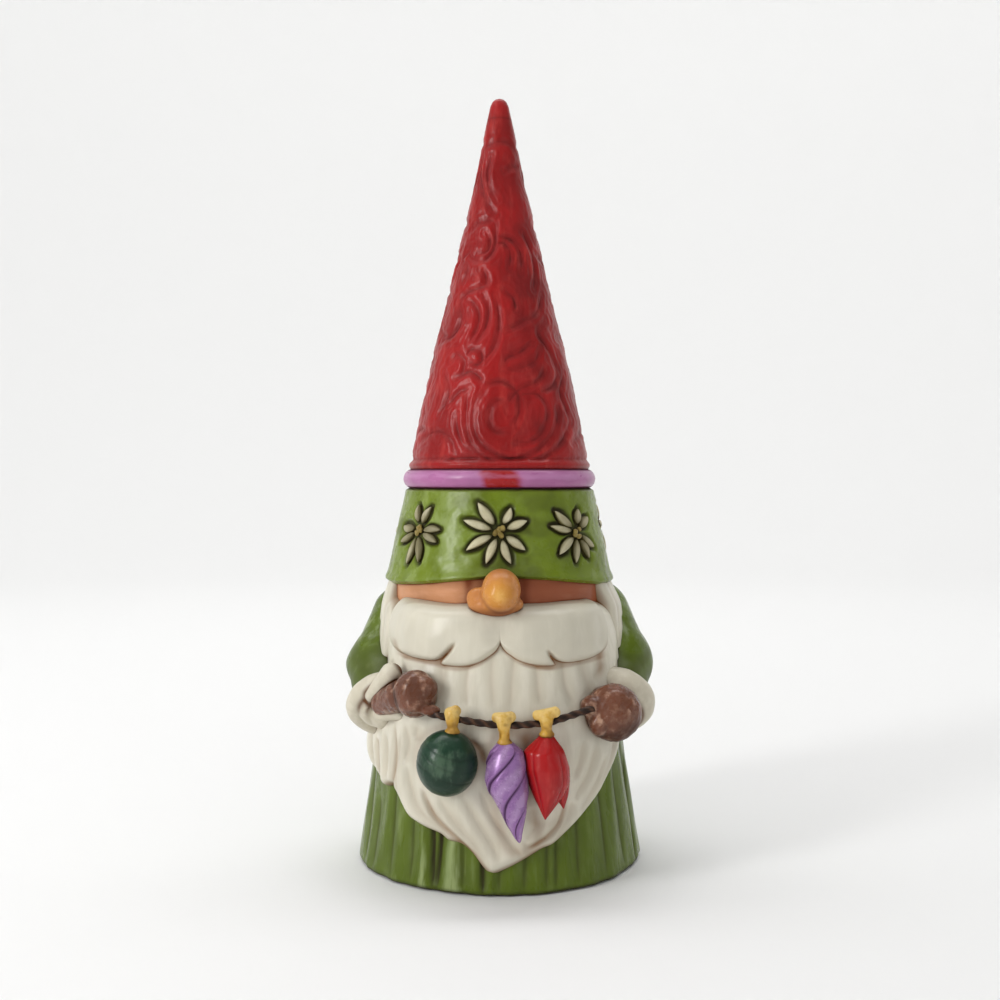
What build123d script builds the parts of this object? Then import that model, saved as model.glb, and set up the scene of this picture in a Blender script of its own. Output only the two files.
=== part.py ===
"""A tomte gnome figurine: painted stone-resin castings, glued on spigots and steel pins.

Millimetres, +Z up. The origin is the centre of the felt pad's underside, the figure faces -Y, and
"left" is the -X side, as seen by someone facing the figure.
"""

import math
import os

from build123d import *

# Driving dimensions
TOTAL_HEIGHT = 135.0
ROBE_FOOT_RADIUS = 25.1
ROBE_TAPER = 0.141  # radius lost per millimetre of height
ROBE_FOOT_Z = 0.3
SHOULDER_Z = 44.5
BRIM_Z = 49.6  # underside of the hat cuff, where it rests on the head
CUFF_TOP_Z = 65.1
HAT_FOOT_Z = 68.4
HAT_FOOT_RADIUS = 16.1
HAT_TIP_RADIUS = 1.9
HAT_WAIST = (9.55, 0, 98.0)  # a point on the cone's side, which makes it slightly hollow

# Glue and fit
GLUE_GAP = 0.05
PIN_RADIUS = 0.8

# Head and face
HEAD_RADIUS = 17.2
FACE_RADIUS = 18.9
FACE_HALF_ANGLE = 66.0
NOSE_CENTRE = (0.3, -21.8, 48.7)
NOSE_RADII = (3.7, 4.4, 3.7)
NECK_SPIGOT_RADIUS = 9.0
NECK_SPIGOT_DEPTH = 9.0
HAT_SPIGOT_HEIGHT = 12.0
COLLAR_RADIUS = 19.4
COLLAR_START_ANGLE = 100.0  # from the front, on each side

# Hat trim
CUFF_FOOT_RADIUS = 20.45
CUFF_TOP_RADIUS = 16.85
CUFF_LIP_DROP = 1.4
BAND_BORE_RADIUS = 10.0
BAND_BEAD_RADIUS = 1.6
DAISY_ANGLES = (0, 46, 99, 152, 205, 258, 311)  # from the front, towards +X
DAISY_Z = 58.2
PETALS = ((127, 5.8), (64, 4.3), (21, 4.9), (-35, 5.2), (-70, 5.1), (-113, 5.2), (-151, 6.0), (163, 6.0))
PETAL_WIDTH = 1.4
PETAL_START = 1.5
PETAL_RELIEF = 0.45

# Moustache, beard and hair
MOUSTACHE_CENTRE_RADIUS = 19.6
MOUSTACHE_Z = 41.0
MOUSTACHE_DEPTH = 4.4
MOUSTACHE_HALF_HEIGHT = 5.1
MOUSTACHE_SWELLS = ((12.0, 0.8), (28.0, 0.95), (43.0, 1.0))  # angle from the front, share of the size
MOUSTACHE_SWELL_LENGTH = 6.2
HAIR_ANGLES = (66.0, 96.0)

# Garland: the cord is one flat arc through its two ends and its lowest point
CORD_RADIUS = 0.5
CORD_LEFT = (-11.2, -25.9, 29.0)
CORD_LOW = (1.4, -28.0, 27.4)
CORD_RIGHT = (14.4, -24.0, 29.3)
BALL_CENTRE = (-8.5, -26.6, 21.3)
BALL_RADIUS = 5.0
ICICLE_TOP = (0.6, -27.6, 24.3)
ICICLE_TIP = (3.8, -28.4, 9.2)
BUD_TOP = (8.0, -26.6, 25.6)
BUD_TIP = (7.6, -27.9, 13.0)

# Arms: shoulder, elbow and wrist of the left one. The right one mirrors it, but for its hand
ARM_RADIUS = 6.2
SHOULDER = (-18.2, 2.5, 41.6)
ELBOW = (-20.9, -3.0, 34.5)
WRIST = (-19.6, -10.5, 29.2)
FUR_RING_RADIUS = 4.5
FUR_ROLL_RADIUS = 2.5
LEFT_HAND = (-13.6, -22.3, 31.6)
RIGHT_HAND = (18.4, -19.4, 28.0)

# Felt pad
FELT_RADIUS = 23.0
FELT_THICKNESS = 1.0


def robe_radius(z):
    """The robe's outer radius at a height."""
    return ROBE_FOOT_RADIUS - ROBE_TAPER * z


def turned(points):
    """A solid turned about Z from a closed outline of (radius, height) points."""
    outline = Polyline(*[(r, 0, z) for r, z in points], close=True)
    return revolve(make_face(outline), Axis.Z)


def ellipsoid(centre, radii, tilt=(0, 0, 0)):
    """A sphere stretched along its own axes, then tilted and moved to its centre."""
    ball = scale(Sphere(1), by=radii)
    return Pos(*centre) * Rot(*tilt) * ball


def rod(start, end, radius):
    """A round bar between two points."""
    along = Vector(*end) - Vector(*start)
    plane = Plane(origin=start, z_dir=along)
    return plane * Cylinder(radius, along.length, align=(Align.CENTER, Align.CENTER, Align.MIN))


def tapered_rod(start, end, start_radius, end_radius):
    """A round bar that changes radius from one end to the other."""
    along = Vector(*end) - Vector(*start)
    plane = Plane(origin=start, z_dir=along)
    align = (Align.CENTER, Align.CENTER, Align.MIN)
    return plane * Cone(start_radius, end_radius, along.length, align=align)


def ring_sector(inner, outer, z_low, z_high, first_angle, last_angle):
    """Part of an upright ring. Angles are in degrees from the front, positive towards +X."""
    corners = [(inner, 0, z_low), (outer, 0, z_low), (outer, 0, z_high), (inner, 0, z_high)]
    outline = Polyline(*corners, close=True)
    sector = revolve(make_face(outline), Axis.Z, revolution_arc=last_angle - first_angle)
    return Rot(0, 0, first_angle - 90) * sector


def mirrored(point):
    """The same point on the other side of the figure."""
    return (-point[0], point[1], point[2])


def stretch(start, end, share):
    """The point a share of the way from start to end."""
    return tuple(a + (b - a) * share for a, b in zip(start, end))


def hat_cone():
    """The tall hat, with a boss under it that passes through the band."""
    boss_radius = BAND_BORE_RADIUS - GLUE_GAP
    foot = (HAT_FOOT_RADIUS, 0, HAT_FOOT_Z)
    neck = (HAT_TIP_RADIUS, 0, TOTAL_HEIGHT - 2.8)
    side = ThreePointArc(foot, HAT_WAIST, neck)
    rest = Polyline(
        neck,
        (HAT_TIP_RADIUS * 0.84, 0, TOTAL_HEIGHT - 1.2),
        (HAT_TIP_RADIUS * 0.55, 0, TOTAL_HEIGHT - 0.4),
        (0, 0, TOTAL_HEIGHT),
        (0, 0, CUFF_TOP_Z),
        (boss_radius, 0, CUFF_TOP_Z),
        (boss_radius, 0, HAT_FOOT_Z),
        foot,
    )
    return revolve(make_face(Curve() + [side, rest]), Axis.Z)


def hat_band():
    """The rope band: a flat ring under the cone's edge, with a round bead outside it."""
    bead_centre = CUFF_TOP_RADIUS - BAND_BEAD_RADIUS + 0.35
    ring = turned(
        [
            (BAND_BORE_RADIUS, CUFF_TOP_Z),
            (bead_centre, CUFF_TOP_Z),
            (bead_centre, HAT_FOOT_Z),
            (BAND_BORE_RADIUS, HAT_FOOT_Z),
        ]
    )
    middle_z = (CUFF_TOP_Z + HAT_FOOT_Z) / 2
    return ring + Pos(0, 0, middle_z) * Torus(bead_centre, BAND_BEAD_RADIUS)


def hat_cuff():
    """The turned-up brim, a blind socket that drops over the head's spigot."""
    socket = NECK_SPIGOT_RADIUS + GLUE_GAP
    lip_z = BRIM_Z - CUFF_LIP_DROP
    return turned(
        [
            (0, BRIM_Z + HAT_SPIGOT_HEIGHT + GLUE_GAP),
            (socket, BRIM_Z + HAT_SPIGOT_HEIGHT + GLUE_GAP),
            (socket, BRIM_Z),
            (FACE_RADIUS + 0.1, BRIM_Z),
            (FACE_RADIUS + 0.1, lip_z + 0.2),
            (CUFF_FOOT_RADIUS - 0.9, lip_z),
            (CUFF_FOOT_RADIUS - 0.25, lip_z + 0.3),
            (CUFF_FOOT_RADIUS, lip_z + 1.1),
            (CUFF_TOP_RADIUS, CUFF_TOP_Z),
            (0, CUFF_TOP_Z),
        ]
    )


def petal_blank(direction, tip):
    """One petal's outline at the front of the hat, standing out along -Y far enough to cut with.

    direction is in degrees, anticlockwise from +X. tip is how far the petal's tip is from the daisy's centre.
    """
    middle = (PETAL_START + tip) / 2
    outline = make_face(
        Polyline(
            (PETAL_START, 0),
            (middle - 0.3, PETAL_WIDTH / 2),
            (middle + 0.6, PETAL_WIDTH / 2 - 0.1),
            (tip, 0),
            (middle + 0.6, -PETAL_WIDTH / 2 + 0.1),
            (middle - 0.3, -PETAL_WIDTH / 2),
            close=True,
        )
    )
    front = Plane(origin=(0, 0, DAISY_Z), x_dir=(1, 0, 0), z_dir=(0, -1, 0))
    return front * (Rot(0, 0, direction) * extrude(outline, CUFF_FOOT_RADIUS + 5))


def daisies():
    """Each daisy is eight raised petals on the cuff's slope."""
    slope = (CUFF_FOOT_RADIUS - CUFF_TOP_RADIUS) / (CUFF_TOP_Z - BRIM_Z + CUFF_LIP_DROP - 1.1)
    low, high = DAISY_Z - 6, DAISY_Z + 6

    def radius_at(z):
        return CUFF_TOP_RADIUS + slope * (CUFF_TOP_Z - z)

    skin = turned(
        [
            (radius_at(low), low),
            (radius_at(low) + PETAL_RELIEF, low),
            (radius_at(high) + PETAL_RELIEF, high),
            (radius_at(high), high),
        ]
    )
    flower = []
    for direction, tip in PETALS:
        flower += (skin & petal_blank(direction, tip)).solids()
    placed = {}
    for index, angle in enumerate(DAISY_ANGLES):
        turn = Rot(0, 0, angle)
        placed[f"daisy_{index + 1}"] = Compound(children=[turn * solid for solid in flower])
    return placed


def robe_core():
    """The solid robe: a tapered casting with a shallow felt recess and a neck socket."""
    socket = NECK_SPIGOT_RADIUS + GLUE_GAP
    socket_floor = SHOULDER_Z - NECK_SPIGOT_DEPTH - GLUE_GAP
    body = turned(
        [
            (0, FELT_THICKNESS),
            (FELT_RADIUS + 0.1, FELT_THICKNESS),
            (FELT_RADIUS + 0.1, ROBE_FOOT_Z),
            (ROBE_FOOT_RADIUS - 0.4, ROBE_FOOT_Z),
            (robe_radius(0.7), 0.7),
            (robe_radius(SHOULDER_Z), SHOULDER_Z),
            (socket, SHOULDER_Z),
            (socket, socket_floor),
            (0, socket_floor),
        ]
    )
    collar = ring_sector(
        HEAD_RADIUS, COLLAR_RADIUS, SHOULDER_Z - 0.5, BRIM_Z, COLLAR_START_ANGLE, 360 - COLLAR_START_ANGLE
    )
    lip_room = turned(
        [
            (FACE_RADIUS, BRIM_Z - CUFF_LIP_DROP),
            (FACE_RADIUS + 3, BRIM_Z - CUFF_LIP_DROP),
            (FACE_RADIUS + 3, BRIM_Z + 1),
            (FACE_RADIUS, BRIM_Z + 1),
        ]
    )
    return body + (collar - lip_room)


def robe_folds():
    """Long round cutters that press the vertical folds into the robe's side."""
    fold_angles = [-72, -46, -27, -8, 0, 20, 26, 50, 74, 100, 122, 146, 165, 180, 197, 220, 242, 262]
    fold_radius = 1.0
    cutters = []
    for angle in fold_angles:
        turn = math.radians(angle)
        foot = robe_radius(-2) + 0.55
        top = robe_radius(SHOULDER_Z - 8) + 0.85
        start = (foot * math.sin(turn), -foot * math.cos(turn), -2)
        end = (top * math.sin(turn), -top * math.cos(turn), SHOULDER_Z - 8)
        cutters.append(rod(start, end, fold_radius))
    return cutters


def head_core():
    """The head block: a disc between robe and hat, with a spigot above and below."""
    return turned(
        [
            (0, SHOULDER_Z - NECK_SPIGOT_DEPTH),
            (NECK_SPIGOT_RADIUS, SHOULDER_Z - NECK_SPIGOT_DEPTH),
            (NECK_SPIGOT_RADIUS, SHOULDER_Z),
            (HEAD_RADIUS - GLUE_GAP, SHOULDER_Z),
            (HEAD_RADIUS - GLUE_GAP, BRIM_Z),
            (NECK_SPIGOT_RADIUS, BRIM_Z),
            (NECK_SPIGOT_RADIUS, BRIM_Z + HAT_SPIGOT_HEIGHT),
            (0, BRIM_Z + HAT_SPIGOT_HEIGHT),
        ]
    )


def moustache_lobe(side):
    """One lobe: an oval roll wrapped round the face, with a fuller round outer end. side is -1 or 1."""
    lobe = None
    for angle, share in MOUSTACHE_SWELLS:
        turn = math.radians(side * angle)
        across = MOUSTACHE_CENTRE_RADIUS * math.sin(turn)
        forward = MOUSTACHE_CENTRE_RADIUS * math.cos(turn)
        centre = (across, -forward, MOUSTACHE_Z)
        radii = (MOUSTACHE_SWELL_LENGTH, MOUSTACHE_DEPTH * share, MOUSTACHE_HALF_HEIGHT * share)
        swell = ellipsoid(centre, radii, (0, 0, math.degrees(turn)))
        lobe = swell if lobe is None else lobe + swell
    return lobe


def hair_lock(side):
    """The lock of hair between the face and the shoulder. side is -1 or 1."""
    first, last = HAIR_ANGLES if side > 0 else (-HAIR_ANGLES[1], -HAIR_ANGLES[0])
    strand = ring_sector(HEAD_RADIUS, FACE_RADIUS + 0.9, SHOULDER_Z, BRIM_Z, first, last)
    lip_room = turned(
        [
            (FACE_RADIUS, BRIM_Z - CUFF_LIP_DROP),
            (FACE_RADIUS + 3, BRIM_Z - CUFF_LIP_DROP),
            (FACE_RADIUS + 3, BRIM_Z + 1),
            (FACE_RADIUS, BRIM_Z + 1),
        ]
    )
    turn = math.radians(side * 66)
    curl_radius = robe_radius(40) + 0.8
    curl = ellipsoid(
        (curl_radius * math.sin(turn), -curl_radius * math.cos(turn), 41.5),
        (1.7, 2.6, 5.5),
        (0, 0, math.degrees(turn)),
    )
    return (strand - lip_room) + curl


def beard():
    """The beard's full thickness: its front outline cut from a bulging apron round the robe."""
    apron = turned(
        [
            (17, 3.0),
            (25.3, 3.4),
            (26.6, 8.0),
            (27.0, 14.0),
            (26.7, 21.0),
            (25.9, 28.0),
            (24.3, 35.0),
            (22.0, 41.0),
            (17, 42.0),
        ]
    )
    outline = Polyline(
        (-13.5, 42.5),
        (-15.5, 35.0),
        (-20.5, 29.5),
        (-24.5, 21.5),
        (-22.9, 16.6),
        (-20.2, 14.4),
        (-17.8, 15.0),
        (-15.3, 10.6),
        (-10.0, 8.6),
        (-6.6, 7.6),
        (-4.6, 6.2),
        (-1.4, 3.8),
        (0.6, 4.2),
        (7.2, 6.5),
        (10.6, 8.1),
        (13.3, 10.5),
        (15.8, 13.3),
        (17.7, 16.4),
        (19.0, 19.4),
        (19.6, 24.0),
        (19.0, 29.5),
        (15.5, 35.0),
        (13.5, 42.5),
        close=True,
    )
    front = Plane(origin=(0, 0, 0), x_dir=(1, 0, 0), z_dir=(0, -1, 0))
    prism = extrude(make_face(front * outline), 40)
    return apron & prism


def arm_points(side):
    """Shoulder, elbow and wrist of one arm. side is -1 or 1."""
    points = (SHOULDER, ELBOW, WRIST)
    return points if side < 0 else tuple(mirrored(point) for point in points)


def sleeve(side):
    """A padded sleeve: two straight round lengths with round joints."""
    shoulder, elbow, wrist = arm_points(side)
    upper = tapered_rod(shoulder, elbow, ARM_RADIUS - 0.3, ARM_RADIUS)
    lower = tapered_rod(elbow, wrist, ARM_RADIUS, ARM_RADIUS + 0.3)
    return (
        upper
        + Pos(*shoulder) * Sphere(ARM_RADIUS - 0.3)
        + Pos(*elbow) * Sphere(ARM_RADIUS)
        + lower
    )


def fur_cuff(side):
    """The rolled fur ring at the end of a sleeve."""
    _, elbow, wrist = arm_points(side)
    plane = Plane(origin=wrist, z_dir=Vector(*wrist) - Vector(*elbow))
    return plane * (Pos(0, 0, FUR_ROLL_RADIUS * 0.6) * Torus(FUR_RING_RADIUS, FUR_ROLL_RADIUS))


def left_mitten():
    """The left mitten points across the chest: a cone-shaped wrist and a closed fist."""
    thumb = (LEFT_HAND[0] + 1.6, LEFT_HAND[1] - 1.9, LEFT_HAND[2] - 2.4)
    wrist = tapered_rod(WRIST, LEFT_HAND, 2.4, 3.2)
    return wrist + Pos(*LEFT_HAND) * Sphere(3.6) + Pos(*thumb) * Sphere(1.5)


def right_mitten():
    """The right mitten points forwards: a round fist with a thumb on its inner side."""
    thumb = (RIGHT_HAND[0] - 2.6, RIGHT_HAND[1] - 2.4, RIGHT_HAND[2] + 2.6)
    wrist = tapered_rod(mirrored(WRIST), RIGHT_HAND, 2.6, 3.4)
    return wrist + Pos(*RIGHT_HAND) * Sphere(4.6) + Pos(*thumb) * Sphere(1.8)


def garland_cord():
    """The cord between the two fists."""
    line = ThreePointArc(CORD_LEFT, CORD_LOW, CORD_RIGHT)
    section = Plane(origin=CORD_LEFT, z_dir=line % 0) * Circle(CORD_RADIUS)
    return sweep(section, path=line)


def cord_point(x):
    """The point of the cord's arc at an X."""
    line = ThreePointArc(CORD_LEFT, CORD_LOW, CORD_RIGHT)
    low, high = 0.0, 1.0
    for _ in range(30):
        middle = (low + high) / 2
        if (line @ middle).X < x:
            low = middle
        else:
            high = middle
    return tuple(line @ low)


def ornament_cap(top):
    """A gilt cap on an ornament's top, folded over the cord."""
    hang = cord_point(top[0] - 0.2)
    foot = (top[0], top[1], top[2] - 0.4)
    loop = ellipsoid((hang[0], hang[1], hang[2] + 0.6), (1.8, 1.3, 1.6))
    return loop + rod(foot, hang, 1.0) + Pos(*foot) * Cylinder(1.5, 1.2)


def spindle(top, tip, profile):
    """An ornament turned about the line from its top to its tip. profile is (share, radius) pairs."""
    along = Vector(*tip) - Vector(*top)
    plane = Plane(origin=top, z_dir=along)
    outline = Polyline(*[(r, 0, along.length * share) for share, r in profile], close=True)
    return plane * revolve(make_face(outline), Axis.Z)


def icicle_ornament():
    """The lilac drop."""
    profile = [(0, 0), (0, 1.6), (0.1, 2.6), (0.28, 3.4), (0.42, 3.4), (0.62, 2.5), (0.85, 1.2), (1, 0)]
    return spindle(ICICLE_TOP, ICICLE_TIP, profile)


def bud_ornament():
    """The red flower bud."""
    profile = [(0, 0), (0, 1.2), (0.14, 2.3), (0.36, 3.7), (0.5, 3.7), (0.72, 2.4), (1, 0)]
    return spindle(BUD_TOP, BUD_TIP, profile)


def shoulder_pin(side, radius, extra):
    """A straight steel pin from the robe into a sleeve."""
    start = (side * (14.0 - extra), 0, 39.0)
    end = (side * (21.5 + extra), 0, 39.0)
    return rod(start, end, radius)


def hand_pin(side, radius, extra):
    """A straight steel pin from a sleeve into its mitten."""
    wrist = arm_points(side)[2]
    hand = LEFT_HAND if side < 0 else RIGHT_HAND
    reach = (Vector(*hand) - Vector(*wrist)).length
    start = stretch(wrist, hand, -(3.5 + extra) / reach)
    end = stretch(wrist, hand, (6.5 + extra) / reach)
    return rod(start, end, radius)


def less(shape, *cutters):
    """shape with each cutter taken out of it."""
    for cutter in cutters:
        shape = shape - cutter
    return shape


def largest(shape):
    """The biggest solid of a shape, without the slivers that a cut can leave."""
    return max(shape.solids(), key=lambda solid: solid.volume)


def build():
    """Every node by name, each cut to seat against its neighbours."""
    parts = {}
    felt_align = (Align.CENTER, Align.CENTER, Align.MIN)
    parts["felt_pad"] = Cylinder(FELT_RADIUS, FELT_THICKNESS, align=felt_align)
    parts["head_core"] = head_core()
    parts["hat_cone"] = hat_cone()
    parts["hat_band"] = hat_band()
    parts.update(daisies())

    nose = ellipsoid(NOSE_CENTRE, NOSE_RADII)
    robe = robe_core()
    cuff = hat_cuff()
    cord = garland_cord()
    mittens = {-1: left_mitten(), 1: right_mitten()}
    names = {-1: "left", 1: "right"}

    ball = Pos(*BALL_CENTRE) * Sphere(BALL_RADIUS)
    bud = bud_ornament()
    icicle = icicle_ornament() - bud
    ball_top = (BALL_CENTRE[0] + 0.5, BALL_CENTRE[1], BALL_CENTRE[2] + BALL_RADIUS)
    caps = {
        "ball_cap": less(ornament_cap(ball_top), cord, ball),
        "icicle_cap": less(ornament_cap(ICICLE_TOP), cord, icicle),
        "bud_cap": less(ornament_cap(BUD_TOP), cord, bud),
    }
    cord = less(cord, mittens[-1], mittens[1])

    parts["nose"] = largest(less(nose, parts["head_core"]))
    parts["hat_cuff"] = less(cuff, nose)
    face = ring_sector(HEAD_RADIUS, FACE_RADIUS, SHOULDER_Z, BRIM_Z, -FACE_HALF_ANGLE, FACE_HALF_ANGLE)
    parts["face_strip"] = largest(less(face, nose))

    lobes = {}
    for side in (-1, 1):
        far_half = Pos(-side * 20, 0, MOUSTACHE_Z) * Box(40, 80, 40)
        lobe = less(moustache_lobe(side), far_half, robe, parts["head_core"], face, nose, cuff)
        lobes[side] = largest(lobe)
        parts[f"moustache_{names[side]}"] = lobes[side]

    cuffs, sleeves, pin_holes = {}, {}, []
    for side in (-1, 1):
        pin_hole = hand_pin(side, PIN_RADIUS + GLUE_GAP, 0.1)
        shoulder_hole = shoulder_pin(side, PIN_RADIUS + GLUE_GAP, 0.1)
        lock = less(hair_lock(side), robe, face, lobes[side], parts["head_core"])
        lock = largest(lock)
        cuffs[side] = largest(less(fur_cuff(side), robe, mittens[side], pin_hole))
        arm = less(sleeve(side), fur_cuff(side), robe, parts["head_core"], cuff, lock, lobes[side])
        sleeves[side] = largest(less(arm, mittens[side], pin_hole, shoulder_hole))
        robe = less(robe, shoulder_hole, pin_hole)
        pin_holes.append(pin_hole)
        parts[f"hair_lock_{names[side]}"] = lock
        parts[f"fur_cuff_{names[side]}"] = cuffs[side]
        parts[f"sleeve_{names[side]}"] = sleeves[side]
        parts[f"mitten_{names[side]}"] = largest(less(mittens[side], robe, pin_hole))
        parts[f"shoulder_pin_{names[side]}"] = shoulder_pin(side, PIN_RADIUS, 0)
        parts[f"hand_pin_{names[side]}"] = hand_pin(side, PIN_RADIUS, 0)

    garland = (cord, ball, bud, icicle, *caps.values())
    whiskers = less(beard(), *garland, robe, *mittens.values(), *pin_holes)
    whiskers = less(whiskers, *lobes.values(), *cuffs.values(), *sleeves.values())
    parts["beard"] = largest(whiskers)
    parts["robe_body"] = largest(less(robe, *robe_folds()))
    parts["garland_cord"] = largest(cord)
    parts["ball_ornament"] = ball
    parts["icicle_ornament"] = largest(icicle)
    parts["bud_ornament"] = bud
    for name, cap in caps.items():
        parts[name] = largest(cap)
    return parts


os.makedirs("parts", exist_ok=True)
for node_name, node_shape in build().items():
    export_step(node_shape, f"parts/{node_name}.step")
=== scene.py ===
"""A painted stone-resin tomte gnome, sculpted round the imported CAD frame.

Shapes are worked out in millimetres, in the CAD's frame, and turned into metres when a mesh is made.
Angles on the figure are in degrees from the front, positive towards +X. A side is -1 towards -X, which is the
figure's left in the file's names, and 1 towards +X.
"""

import math

import bmesh
import bpy
import numpy as np
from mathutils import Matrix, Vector


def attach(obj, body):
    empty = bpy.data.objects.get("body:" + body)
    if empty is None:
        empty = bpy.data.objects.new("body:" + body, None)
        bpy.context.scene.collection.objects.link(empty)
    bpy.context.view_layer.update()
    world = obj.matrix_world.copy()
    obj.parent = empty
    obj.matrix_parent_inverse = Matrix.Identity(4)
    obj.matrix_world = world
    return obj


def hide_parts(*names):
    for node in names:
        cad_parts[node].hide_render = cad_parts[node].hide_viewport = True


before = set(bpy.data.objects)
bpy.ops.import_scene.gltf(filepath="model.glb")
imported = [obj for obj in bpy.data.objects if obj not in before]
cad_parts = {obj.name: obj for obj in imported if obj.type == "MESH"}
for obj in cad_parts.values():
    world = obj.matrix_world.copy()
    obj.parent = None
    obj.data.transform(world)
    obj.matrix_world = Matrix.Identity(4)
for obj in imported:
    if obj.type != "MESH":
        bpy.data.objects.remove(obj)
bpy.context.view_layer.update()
MM = 0.001
# The shapes are laid out 136 mm tall, from -1 under the felt pad to 135 at the hat's tip. These two bring
# every piece onto the CAD's 135 mm, which starts at 0.
FIT_SCALE = 135.0 / 136.0
FIT_LIFT = 0.993

# ---------------------------------------------------------------- measures shared by several pieces
# (height, radius) up the hat
HAT_PROFILE = (
    (68.4, 16.1), (72.1, 15.5), (77.5, 14.4), (83.1, 13.2), (90.0, 11.7), (96.9, 9.85), (102.7, 8.49),
    (111.0, 6.44), (119.3, 4.65), (126.5, 3.16), (131.0, 2.3), (133.4, 1.8), (134.3, 1.4), (134.75, 0.85),
    (135.0, 0.0),
)
CUFF_FOOT_Z, CUFF_TOP_Z = 48.2, 65.1
CUFF_FOOT_RADIUS, CUFF_TOP_RADIUS = 20.45, 16.85
# Patches laid on the figure are measured as if it were a drum of this radius
PATCH_RADIUS = 22.0
SIDES = {-1: "left", 1: "right"}


def robe_radius(z):
    return 25.1 - 0.141 * np.asarray(z, float)


def hat_radius(z):
    return np.interp(z, [p[0] for p in HAT_PROFILE], [p[1] for p in HAT_PROFILE])


def cuff_radius(z):
    return np.interp(z, [CUFF_FOOT_Z, CUFF_TOP_Z], [CUFF_FOOT_RADIUS, CUFF_TOP_RADIUS])


def beard_radius(z):
    return np.interp(z, [3, 8, 14, 21, 28, 35, 41, 46], [25.6, 26.2, 26.4, 26.1, 25.3, 24.0, 22.2, 20.6])


def moustache_radius(z):
    return 23.0 + 0 * z


# ---------------------------------------------------------------- numbers
def ramp(x, low, high):
    """0 at low and 1 at high, with a soft start and end; low may be the larger one."""
    t = np.clip((x - low) / (high - low), 0, 1)
    return t * t * (3 - 2 * t)


def bell(x, middle, width):
    """1 at the middle, falling away to either side."""
    return np.exp(-(((x - middle) / width) ** 2))


def circle(theta, r):
    """Across and forward places of an angle on a circle."""
    turn = np.radians(theta)
    return r * np.sin(turn), r * np.cos(turn)


def value_noise(x, y, z, seed=0):
    """Smooth noise from -1 to 1, one lump per unit."""
    xi, yi, zi = (np.floor(v).astype(np.int64) for v in (x, y, z))
    fx, fy, fz = (v - i for v, i in ((x, xi), (y, yi), (z, zi)))
    fx, fy, fz = (f * f * (3 - 2 * f) for f in (fx, fy, fz))

    def corner(i, j, k):
        """A hash of the lattice point, from large primes and shifts."""
        n = (xi + i) * 374761393 + (yi + j) * 668265263 + (zi + k) * 1440662683 + seed * 974634777
        n = n & 0xFFFFFFFF
        n = ((n ^ (n >> 13)) * 1274126177) & 0xFFFFFFFF
        return ((n ^ (n >> 16)) & 0xFFFF) / 32767.5 - 1

    def mix(a, b, t):
        return a + (b - a) * t

    planes = []
    for k in (0, 1):
        rows = [mix(corner(0, j, k), corner(1, j, k), fx) for j in (0, 1)]
        planes.append(mix(rows[0], rows[1], fy))
    return mix(planes[0], planes[1], fz)


def noise(x, y, z, size, seed, octaves=3):
    """Noise from -1 to 1 with finer noise on it. size is its lumps', one number or one for each direction."""
    sx, sy, sz = np.broadcast_to(size, 3)
    x, y, z = x / sx, y / sy, z / sz
    total, share = 0.0, 0.0
    for o in range(octaves):
        total = total + value_noise(x * 2**o, y * 2**o, z * 2**o, seed + o * 17) / 2**o
        share += 1 / 2**o
    return total / share


def curve_point(a, b, c, d, t):
    """The place a share t of the way from b to c on a smooth curve through a, b, c and d."""
    square = 2 * a - 5 * b + 4 * c - d
    cube = 3 * b - a - 3 * c + d
    return 0.5 * (2 * b + (c - a) * t + square * t**2 + cube * t**3)


def curve_through(points, steps=8):
    """A smooth curve through points, as more points."""
    p = np.asarray(points, float)
    if len(p) < 3:
        return p
    p = np.vstack([2 * p[0] - p[1], p, 2 * p[-1] - p[-2]])
    shares = np.arange(steps) / steps
    out = [curve_point(*p[i - 1 : i + 3], t) for i in range(1, len(p) - 2) for t in shares]
    return np.array(out + [p[-2]])


def closed_curve(points, steps=6):
    """A smooth closed curve through points, as more points."""
    p = np.asarray(points, float)
    n = len(p)
    out = []
    for i in range(n):
        corners = [p[(i + k) % n] for k in (-1, 0, 1, 2)]
        out += [curve_point(*corners, t) for t in np.arange(steps) / steps]
    return np.array(out)


def line_distance(u, v, points):
    """Each place's distance to a polyline, and how far along it the nearest point is, from 0 to 1."""
    best, along = np.full(np.shape(u), 1e9), np.zeros(np.shape(u))
    last = len(points) - 1
    for i in range(last):
        a, d = points[i], points[i + 1] - points[i]
        t = np.clip(((u - a[0]) * d[0] + (v - a[1]) * d[1]) / max(d @ d, 1e-9), 0, 1)
        gap = np.hypot(u - a[0] - t * d[0], v - a[1] - t * d[1])
        nearer = gap < best
        best = np.where(nearer, gap, best)
        along = np.where(nearer, (i + t) / last, along)
    return best, along


def patch_depth(theta, z, outline):
    """Distance inside a closed outline of (angle, z) points on the figure, negative outside it."""
    points = closed_curve(outline)
    ring = np.column_stack([np.radians(points[:, 0]) * PATCH_RADIUS, points[:, 1]])
    ring = np.vstack([ring, ring[:1]])
    u = np.radians(theta) * PATCH_RADIUS
    gap, _ = line_distance(u, z, ring)
    inside = np.zeros(np.shape(u), bool)
    for (ax, ay), (bx, by) in zip(ring[:-1], ring[1:]):
        if ay == by:
            continue
        crosses = (z < ay) != (z < by)
        inside ^= crosses & (u < ax + (z - ay) * (bx - ax) / (by - ay))
    return np.where(inside, gap, -gap)


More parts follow.
